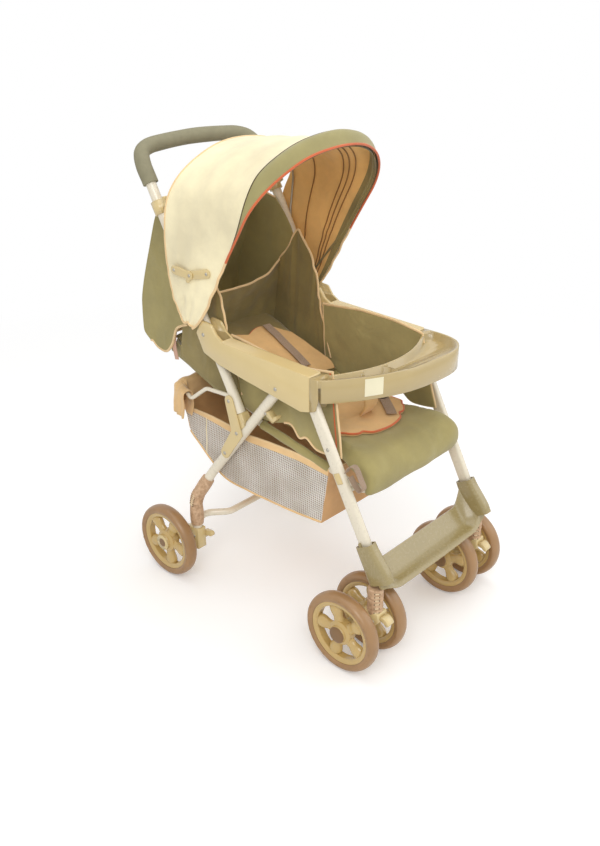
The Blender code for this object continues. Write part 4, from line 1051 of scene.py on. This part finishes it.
def seat():
    """The two pads, and the insert that lies on them."""
    pad = pad_block(SEAT_LINE, lambda v: mix(0.134, 0.156, step_between(v, 0.30, 0.62)),
                    lambda v: mix(0.018, 0.040, step_between(v, 0.40, 0.8)), 0.006,
                    lambda v: 0.026 * step_between(v, 0.05, 0.45) * (1 - 0.6 * step_between(v, 0.75, 1.0)))
    pad = wrinkled(swollen(pad, 0.006), 16, 0.0022)
    thing = piece("padded_seat", pad, OLIVE_CLOTH, "seat", "olive_cloth", "seat_pad")
    line = [back_point(0, reach, 0.020) for reach in (0.297, 0.23, 0.16, 0.09, 0.024)]
    rest = pad_block([(p.y + MIDDLE_Y, p.z) for p in line], lambda v: 0.141, lambda v: 0.018, 0.005,
                     lambda v: 0.006)
    rest = wrinkled(swollen(rest, 0.005), 15, 0.002, 5.0)
    back = piece("padded_backrest", rest, DARK_CLOTH, "backrest", "olive_cloth", "backrest_pad")
    seat_tree = surface_of(thing)
    back_tree = surface_of(back)
    insert(seat_tree, back_tree)
    harness(seat_tree, back_tree)


def insert(seat_tree, back_tree):
    """The tan padded insert with orange edges, laid on the seat and up the backrest."""
    def seat_spot(u, v):
        side = 2 * u - 1
        x = side * (mix(0.108, 0.112, v) - 0.020 * step_between(v, 0.86, 1.0))
        front = 0.042 + 0.034 * abs(side) ** 2.4 + 0.009 * math.exp(-((abs(side) - 0.66) / 0.10) ** 2)
        y = mix(0.246, front, v)
        return on_seat(seat_tree, x, y, 0.005) or place(x, (y, 0.43 - 0.1 * v))

    def back_spot(u, v):
        side = 2 * u - 1
        x = side * (mix(0.126, 0.108, v) - 0.012 * step_between(v, 0.9, 1.0))
        lobed = 0.196 + 0.016 * abs(math.sin(math.pi * side)) - 0.02 * side ** 4
        return on_back(back_tree, x, mix(0.030, lobed, v), 0.005) or back_point(x, mix(0.03, 0.20, v), 0.034)

    base = wrinkled(shell(grid(30, 40, seat_spot), 0.007, levels=1), 22, 0.0012)
    piece("insert_seat", base, INSERT_CLOTH, "seat", "tan_cloth")
    piped("insert_seat_piping", shifted(round_edge(seat_spot, 40), z=0.0015), ORANGE_PIPING, "seat", 0.0024)
    rest = wrinkled(shell(grid(26, 36, back_spot), 0.007, levels=1), 22, 0.0012, 3.0)
    piece("insert_back", rest, INSERT_CLOTH, "backrest", "tan_cloth")
    piped("insert_back_piping", round_edge(back_spot, 30), ORANGE_PIPING, "backrest", 0.0024)


def harness(seat_tree, back_tree):
    """The padded tab between the legs, and the lap and shoulder straps with one buckle."""
    root = on_seat(seat_tree, 0, 0.108, 0.012) or place(0, (0.108, 0.43))
    rises = ((0, 0, 0), (0, -0.012, 0.022), (0.004, -0.004, 0.048), (0.004, 0.018, 0.066))
    flat_strap("crotch_tab", [root + Vector(rise) for rise in rises], 0.040, 0.0042, INSERT_CLOTH, "seat",
               replaces=("crotch_strap",))
    width, thick, lift = 0.022, 0.0016, 0.0135
    for side, sign in SIDES:
        (x0, y0), (x1, y1) = LAP_STRAPS[side]
        lap = []
        for k in range(9):
            x, y = mix(x0, x1, k / 8), mix(y0, y1, k / 8)
            lap.append(on_seat(seat_tree, x, y, lift) or place(x, (y, 0.45)))
        way = Vector((y0 - y1, x1 - x0, 0)).normalized()
        flat_strap(f"lap_strap_{side}", lap, width, thick, WEBBING, "seat", way)
        shoulder = []
        for k in range(9):
            x, reach = sign * mix(0.062, 0.046, k / 8), mix(0.205, 0.050, k / 8)
            shoulder.append(on_back(back_tree, x, reach, lift) or back_point(sign * 0.05, reach, 0.046))
        flat_strap(f"shoulder_strap_{side}", shoulder, width, thick, WEBBING, "backrest")
        if side == "right":
            turns = [math.tau * k / 24 for k in range(24)] + [0.0]
            ring = [lap[1] + Vector((0.012 * math.cos(a), 0.009 * math.sin(a), 0.0035)) for a in turns]
            piped("lap_buckle", ring, DARK_PIPING, "seat", 0.0022, "beige_plastic")


def back_sling():
    """The cloth under the backrest, wrapped up round its rail, and the rail's pale strap."""
    def spot(u, v):
        side = 2 * v - 1
        sag = 0.025 * step_between(u, 0.0, 0.5) + 0.0030 * rough(6, 9, 1.0, u, v)
        edge = step_between(abs(side), 0.90, 1.0)
        x = side * mix(0.139, 0.1405, edge)
        return back_point(x, mix(-0.008, 0.300, u), mix(-0.006 - sag, 0.014, edge))

    sheet("back_sling", spot, 36, 48, 0.0024, OLIVE_CLOTH, "backrest", "olive_cloth",
          bevel=0.0005)
    strap = [place(-0.1475, p) for p in ((0.5628, 0.5700), (0.5680, 0.5350), (0.5610, 0.5020))]
    flat_strap("pouch_strap", strap, 0.013, 0.0012, PALE_STRAP, "handle", Vector((0, 1, 0)))


# Side cloths, wings and the pouch behind the head

SIDE_LOW = [(0.0668, 0.4327), (0.1263, 0.4273), (0.1585, 0.4443), (0.1802, 0.4380), (0.2132, 0.4542),
            (0.270, 0.440), (0.330, 0.445), (0.372, 0.460)]
SIDE_TOPS = {
    "right": [(0.1040, 0.5960), (0.1500, 0.5890), (0.2134, 0.5820), (0.2825, 0.5910), (0.3400, 0.5990),
              (0.382, 0.6030)],
    "left": [(0.1040, 0.5970), (0.1647, 0.6070), (0.2200, 0.6100), (0.2753, 0.6095), (0.3400, 0.6040),
             (0.380, 0.6010)],
}
WING_LOW = [(0.344, 0.436), (0.376, 0.448), (0.408, 0.460), (0.440, 0.473), (0.475, 0.486), (0.512, 0.500),
            (0.545, 0.513)]
WING_TOP = [(0.354, 0.476), (0.389, 0.5888), (0.4000, 0.6415), (0.4165, 0.697), (0.4590, 0.7589),
            (0.4873, 0.7193), (0.5197, 0.6825)]
POUCH_REAR = [(0.650, 0.528), (0.6720, 0.5450), (0.6764, 0.5650), (0.6735, 0.600), (0.6663, 0.6409),
              (0.6400, 0.725), (0.6088, 0.8102), (0.5920, 0.836)]
POUCH_UNDER = [(0.650, 0.528), (0.6180, 0.516), (0.5920, 0.5160), (0.5700, 0.540), (0.5515, 0.5790),
               (0.514, 0.5966)]
POUCH_FRONT = [(0.514, 0.5966), (0.484, 0.655), (0.470, 0.712), (0.480, 0.752), (0.508, 0.792),
               (0.536, 0.822)]
POUCH_CORNER = 0.22
WING_X = 0.1488


def side_panels():
    """Sagging cloth sides with bound edges, from the seat's corners and the tray to the handle's tubes."""
    for side, sign in SIDES:
        def spot(u, v, sign=sign, top=SIDE_TOPS[side]):
            x = 0.1452 - 0.004 * math.sin(math.pi * v) * math.sin(math.pi * u)
            x += 0.0125 * (1 - v) ** 1.5 * (1 - step_between(u, 0.35, 0.65))
            x += 0.0016 * noise.noise(Vector((through(SIDE_LOW, u).x * 26, v * 3.5, sign * 4)))
            return place(sign * x, profile_point(SIDE_LOW, top, u, v))

        body = "armrests"
        made = [sheet(f"side_cloth_{side}", spot, 56, 28, 0.0035, SIDE_CLOTH, body, "olive_cloth",
                      bevel=0.0008,
                      replaces=(f"side_panel_{side}",))]
        scallop = [spot(0.62 * (1 - k / 50), 0.0) for k in range(51)] + column(spot, 0.0, 30)[1:]
        for name, path, finish, radius in (
            ("binding", shifted(row(spot, 1.0, 50), z=0.001), TAN_PIPING, 0.0030),
            ("low_piping", shifted(scallop, sign * 0.0015), TAN_PIPING, 0.0024),
            ("rear_piping", column(spot, 1.0, 20), TAN_PIPING, 0.0026),
            ("front_piping", shifted(column(spot, 0.035, 30), sign * 0.0028), ORANGE_PIPING, 0.0014),
        ):
            made.append(piped(f"side_{name}_{side}", path, finish, body, radius))
        for part in made:
            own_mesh(part)
        wing(side, sign)


def wing(side, sign):
    """The dark cloth that rises from the backrest's edge to a peak by the canopy, with its bound edge."""
    def spot(u, v):
        x = 0.1470 + 0.0060 * rough(14, 1.6, sign * 7, u, v) * v
        return place(sign * min(x, WING_X), profile_point(WING_LOW, WING_TOP, u, v))

    sheet(f"wing_cloth_{side}", spot, 40, 28, 0.0030, DARK_CLOTH, "handle", "olive_cloth",
          bevel=0.0006)
    piped(f"wing_binding_{side}", row(spot, 1.0, 60), TAN_PIPING, "handle", 0.0026)


def pouch_point(u, v):
    """A point of the pouch: u round it from its right front edge to its left one, v up it."""
    side = 2 * u - 1
    flat = 1 - POUCH_CORNER * 2
    away = max(0.0, (abs(side) - flat) / (POUCH_CORNER * 2))
    inner = min(1.0, abs(side) / flat)
    rear = through(POUCH_REAR, v)
    front = through(POUCH_FRONT, v)
    edge = through(POUCH_UNDER, away)
    (rear_y, rear_z), front_z = POUCH_REAR[0], POUCH_FRONT[0][1]
    pull = (1 - v) ** 3 * step_between(away, 0.0, 0.15)
    y = mix(rear.x, front.x, away) + (edge.x - mix(rear_y, front.x, away)) * pull
    z = mix(rear.y, front.y, away) + (edge.y - mix(rear_z, front_z, away)) * pull
    fold = 0.0040 * rough(16, 5, 2.0, u, v) * math.sin(math.pi * v)
    y += fold * (1 - away) - 0.005 * inner ** 8 * (1 - away) ** 2
    return place(0.1505 * math.copysign(inner, side) - math.copysign(abs(fold) * away, side), (y, z))


def liner_point(u, v):
    """A point of the dark cloth in front of the pouch, whose top edge rises to both wings."""
    side = 2 * u - 1
    rise = abs(side) ** 3
    y = mix(0.545, mix(0.512, 0.5197, rise), v) + 0.012 * math.sin(math.pi * v) * (1 - side * side)
    y += 0.004 * rough(9, 5, 4.0, u, v)
    return place(side * WING_X, (y, mix(0.513, mix(0.646, 0.6825, rise), v)))


def head_panel():
    """The puffy pouch behind the child's head, its side gussets and the liner in front of it."""
    sheet("head_pouch", pouch_point, 110, 44, 0.0030, OLIVE_CLOTH, "handle", "olive_cloth",
          bevel=0.0006, replaces=("head_panel",))
    piped("pouch_low_binding", row(pouch_point, 0.0, 140), TAN_PIPING, "handle", 0.0030)
    piped("pouch_top_binding", row(pouch_point, 1.0, 120), TAN_PIPING, "handle", 0.0022)
    for side, sign in SIDES:
        seam = column(pouch_point, 0.5 + sign * 0.285, 30)
        piped(f"pouch_seam_{side}", seam, OLIVE_CLOTH, "handle", 0.0020, "olive_cloth")
    sheet("head_liner", liner_point, 50, 24, 0.0030, DARK_CLOTH, "handle", "olive_cloth",
          bevel=0.0006)
    piped("head_liner_binding", row(liner_point, 1.0, 60), TAN_PIPING, "handle", 0.0026)


# Basket

BASKET_HALF = 0.1495
BASKET_TOP = [(0.1063, 0.3860), (0.182, 0.3930), (0.2674, 0.3920), (0.3302, 0.3885), (0.3889, 0.3920),
              (0.4528, 0.3960), (0.5400, 0.3960)]
BASKET_LOW = [(0.1258, 0.2545), (0.200, 0.2480), (0.2703, 0.2460), (0.345, 0.2465), (0.4156, 0.2520),
              (0.4700, 0.2900), (0.5248, 0.3362)]
# Along the wire of the basket's rear, from one side to the middle, as (x, profile y, z)
CUFF_LINE = [(0.1660, 0.508, 0.4340), (0.1600, 0.535, 0.4370), (0.1480, 0.554, 0.4405),
             (0.1100, 0.558, 0.4420), (0.0, 0.559, 0.4400)]
CUFF_FOLD = [(-0.016, -0.052), (-0.014, -0.020), (-0.012, 0.003), (-0.005, 0.0105), (0.005, 0.0105),
             (0.012, 0.003), (0.014, -0.014), (0.011, -0.034), (0.006, -0.050)]


def basket_wall(sign):
    def spot(u, v):
        sag = 0.004 * math.sin(math.pi * v) * math.sin(math.pi * u)
        wave = 0.0015 * rough(12, 4, sign * 3, u, v)
        return place(sign * (BASKET_HALF + sag + wave), profile_point(BASKET_LOW, BASKET_TOP, u, v))
    return spot


def basket_end(u_end, bulge, rise=0.0):
    """The end wall between the two sides, at one end of their u."""
    def spot(u, v):
        a = basket_wall(-1)(u_end, v)
        b = basket_wall(1)(u_end, v)
        bow = math.sin(math.pi * u)
        y = a.y + bulge * bow + rise * 0.4 * v
        return Vector((mix(a.x, b.x, u), y, a.z - 0.004 * bow * v + rise * v))
    return spot


def basket_floor(u, v):
    point = through(BASKET_LOW, u)
    sag = 0.006 * math.sin(math.pi * u) * math.sin(math.pi * v)
    return place(mix(-BASKET_HALF, BASKET_HALF, v), (point.x, point.y - sag + 0.002))


def basket():
    """Netting sides, a lined floor and ends, and a bound rim with a rear cuff folded over the wire."""
    body = "seat"
    for side, sign in SIDES:
        spot = basket_wall(sign)
        sheet(f"basket_net_{side}", lambda u, v: spot(u, mix(0.02, 0.93, v)), 44, 16, 0.0007, NETTING, body,
              "tan_cloth")
        hem = grid(44, 4, lambda u, v: spot(u, mix(0.90, 1.0, v)) + Vector((sign * 0.0008, 0, 0)))
        piece(f"basket_hem_{side}", shell(hem, 0.0016), BASKET_CLOTH, body, "tan_cloth")
        piped(f"basket_low_binding_{side}", row(spot, 0.02, 80), BASKET_CLOTH, body, 0.0026)
        piped(f"basket_top_binding_{side}", row(spot, 1.0, 80), TAN_PIPING, body, 0.0020)
        seam = [spot(mix(0.86, 0.84, k / 20), mix(0.93, 0.05, k / 20)) for k in range(21)]
        piped(f"basket_net_seam_{side}", shifted(seam, sign * 0.0010), THREAD, body, 0.0010)
    front = basket_end(0.0, -0.002)
    for name, spot, columns, rows, flat, held, support, replaces in (
        ("basket_base", basket_floor, 44, 24, (0.46, 0.30), "stretched", "basket_front", ("basket",)),
        ("basket_front", front, 30, 16, (0.30, 0.13), "hung", "seat_rail", ()),
        ("basket_rear", basket_end(1.0, 0.001, 0.030), 30, 12, (0.30, 0.095), "hung", "basket_rim_wire", ()),
    ):
        sheet(name, spot, columns, rows, 0.0018, BASKET_LINING, body, "tan_cloth",
              replaces=replaces)
    piped("basket_front_binding", row(front, 1.0, 30), TAN_PIPING, body, 0.0022)
    cuff()


def cuff():
    """The wide peach hem folded over the rear of the basket's wire."""
    knots = [place(-x, (y, z)) for x, y, z in CUFF_LINE] + [place(x, (y, z)) for x, y, z in CUFF_LINE[-2::-1]]

    def spot(u, v):
        ahead = bearing(knots, u)
        inward = Vector((ahead.y, -ahead.x, 0)).normalized()
        side, up = through(CUFF_FOLD, v)
        crease = 1 + 0.30 * rough(26, 5, 6.0, u, v)
        lift = Vector((0, 0, up + 0.0025 * rough(18, 4, 9.0, u, v)))
        return through(knots, u) + inward * side * crease + lift

    sheet("basket_cuff", spot, 90, 24, 0.0022, BASKET_CLOTH, "handle", "tan_cloth",
          bevel=0.0004)


# Small fittings

SCREWS = (
    # name, body, radius of the head, distance from the middle, and the points of the profile
    ("armrest_screws", "armrests", 0.0042, 0.1880, (HANDLE_PIVOT, REAR_LEG_PIVOT)),
    ("plate_screws", "plates", 0.0042, 0.1853, ((0.356, 0.474), (0.335, 0.405), (0.374, 0.345))),
    ("leg_rivets", "front_frame", 0.0040, 0.1832, ((0.0825, 0.453), (0.0506, 0.393))),
    ("bracket_screw", "rear_frame", 0.0036, 0.2122, ((REAR_STEM_Y, 0.106),)),
    ("stay_screws", "stays_rear", 0.0036, 0.1976, ((0.493, 0.733), (0.446, 0.730))),
    ("stay_front_screw", "stays_front", 0.0036, 0.1948, ((0.397, 0.742),)),
    ("catch_screw", "rear_frame", 0.0030, 0.1782, ((0.2545, 0.4745),)),
)
LOOP_LINE = ((0.042, 0.4150), (0.034, 0.4300), (0.020, 0.4340), (0.006, 0.4120), (-0.002, 0.3960),
             (0.006, 0.3860), (0.018, 0.3930), (0.032, 0.4100))


def leg_straps():
    """The domed clip on each front leg, and the webbing loop that hangs from the right one."""
    centre = along(FRONT_LEG_FOOT, FRONT_LEG_ANGLE, 0.1475)
    for side, sign in SIDES:
        def plate(u, v, sign=sign):
            a, b = 2 * u - 1, 2 * v - 1
            dome = 0.0032 * (1 - abs(a) ** 4) * (1 - abs(b) ** 4)
            up = along(centre, FRONT_LEG_ANGLE, math.copysign(abs(a) ** 0.8, a) * 0.0110)
            return place(sign * (0.1832 + dome), along(up, FRONT_LEG_ANGLE + math.pi / 2, b * 0.0075))

        clip = shell(grid(16, 12, plate), 0.0016)
        piece(f"leg_clip_{side}", clip, PLASTIC, "front_frame", "beige_plastic")
    loop = [place(-0.1735, p) for p in LOOP_LINE]
    flat_strap("leg_loop", loop, 0.014, 0.0016, WEBBING, "front_frame")


def screw_tree():
    """Geometry nodes that put a domed screw head on each point of a mesh, along its normal."""
    tree = bpy.data.node_groups.new("screw heads", "GeometryNodeTree")
    sockets = tree.interface
    sockets.new_socket("Geometry", in_out="INPUT", socket_type="NodeSocketGeometry")
    size = sockets.new_socket("Radius", in_out="INPUT", socket_type="NodeSocketFloat")
    finish = sockets.new_socket("Finish", in_out="INPUT", socket_type="NodeSocketMaterial")
    sockets.new_socket("Geometry", in_out="OUTPUT", socket_type="NodeSocketGeometry")
    given = node(tree, "NodeGroupInput").outputs
    head = node(tree, "GeometryNodeMeshUVSphere", {"Segments": 20, "Rings": 10, "Radius": given["Radius"]})
    flat = node(tree, "GeometryNodeTransform", {"Geometry": head.outputs["Mesh"], "Scale": (1.0, 1.0, 0.5)})
    normal = node(tree, "GeometryNodeInputNormal").outputs["Normal"]
    turn = node(tree, "FunctionNodeAlignRotationToVector", {"Vector": normal}, axis="Z")
    spread = node(tree, "GeometryNodeInstanceOnPoints", {
        "Points": given["Geometry"], "Instance": flat.outputs["Geometry"],
        "Rotation": turn.outputs["Rotation"]})
    real = node(tree, "GeometryNodeRealizeInstances", {"Geometry": spread.outputs["Instances"]})
    paint = node(tree, "GeometryNodeSetMaterial", {
        "Geometry": real.outputs["Geometry"], "Material": given["Finish"]})
    node(tree, "NodeGroupOutput", {"Geometry": paint.outputs["Geometry"]})
    return tree, size.identifier, finish.identifier


def screws(name, spots, radius, body, setup):
    """Domed heads at (point, normal) spots, as one piece."""
    tree, size_key, finish_key = setup
    verts = []
    for point, normal in spots:
        across = normal.orthogonal().normalized() * 1e-5
        verts += [point, point + across, point + normal.cross(across).normalized() * 1e-5]
    faces = [(k, k + 1, k + 2) for k in range(0, len(verts), 3)]
    thing = temporary(solid("spots", verts, faces))
    heads = modifier(thing, "NODES", node_group=tree)
    heads[size_key] = radius
    heads[finish_key] = STEEL
    return piece(name, baked(thing, 60), STEEL, body, "steel")


def tray_front(tree, x, z, lift):
    """A point on the tray's front wall."""
    start = place(x - 0.08, (-0.06, z))
    way = (place(x, (0.075, z)) - start).normalized()
    return laid(tree, start, way, lift, 0.5) or place(x, (0.06, z))


def fittings():
    """Screws and rivets, and the bare label on the tray."""
    setup = screw_tree()
    for side, sign in SIDES:
        out = Vector((sign, 0, 0))
        for name, body, radius, x, points in SCREWS:
            screws(f"{name}_{side}", [(place(sign * x, p), out) for p in points], radius, body, setup)
        spots = [(place(sign * CASTOR_X + way * 0.0150, (-0.052, 0.120)), Vector((way, 0, 0)))
                 for way in (-1, 1)]
        screws(f"castor_screws_{side}", spots, 0.0034, f"castor_{side}", setup)
    tree = surface_of(bpy.data.objects["shown_tray"])
    label = grid(8, 8, lambda u, v: tray_front(tree, mix(-0.099, -0.054, u), mix(0.552, 0.588, v), 0.0004))
    piece("bare_label", shell(label, 0.0004), BLANK_LABEL, "tray_body", "beige_plastic")


stage_set()
wheels()
frame_tubes()
footrest()
wrappings()
canopy()
seat()
side_panels()
head_panel()
back_sling()
basket()
leg_straps()
fittings()
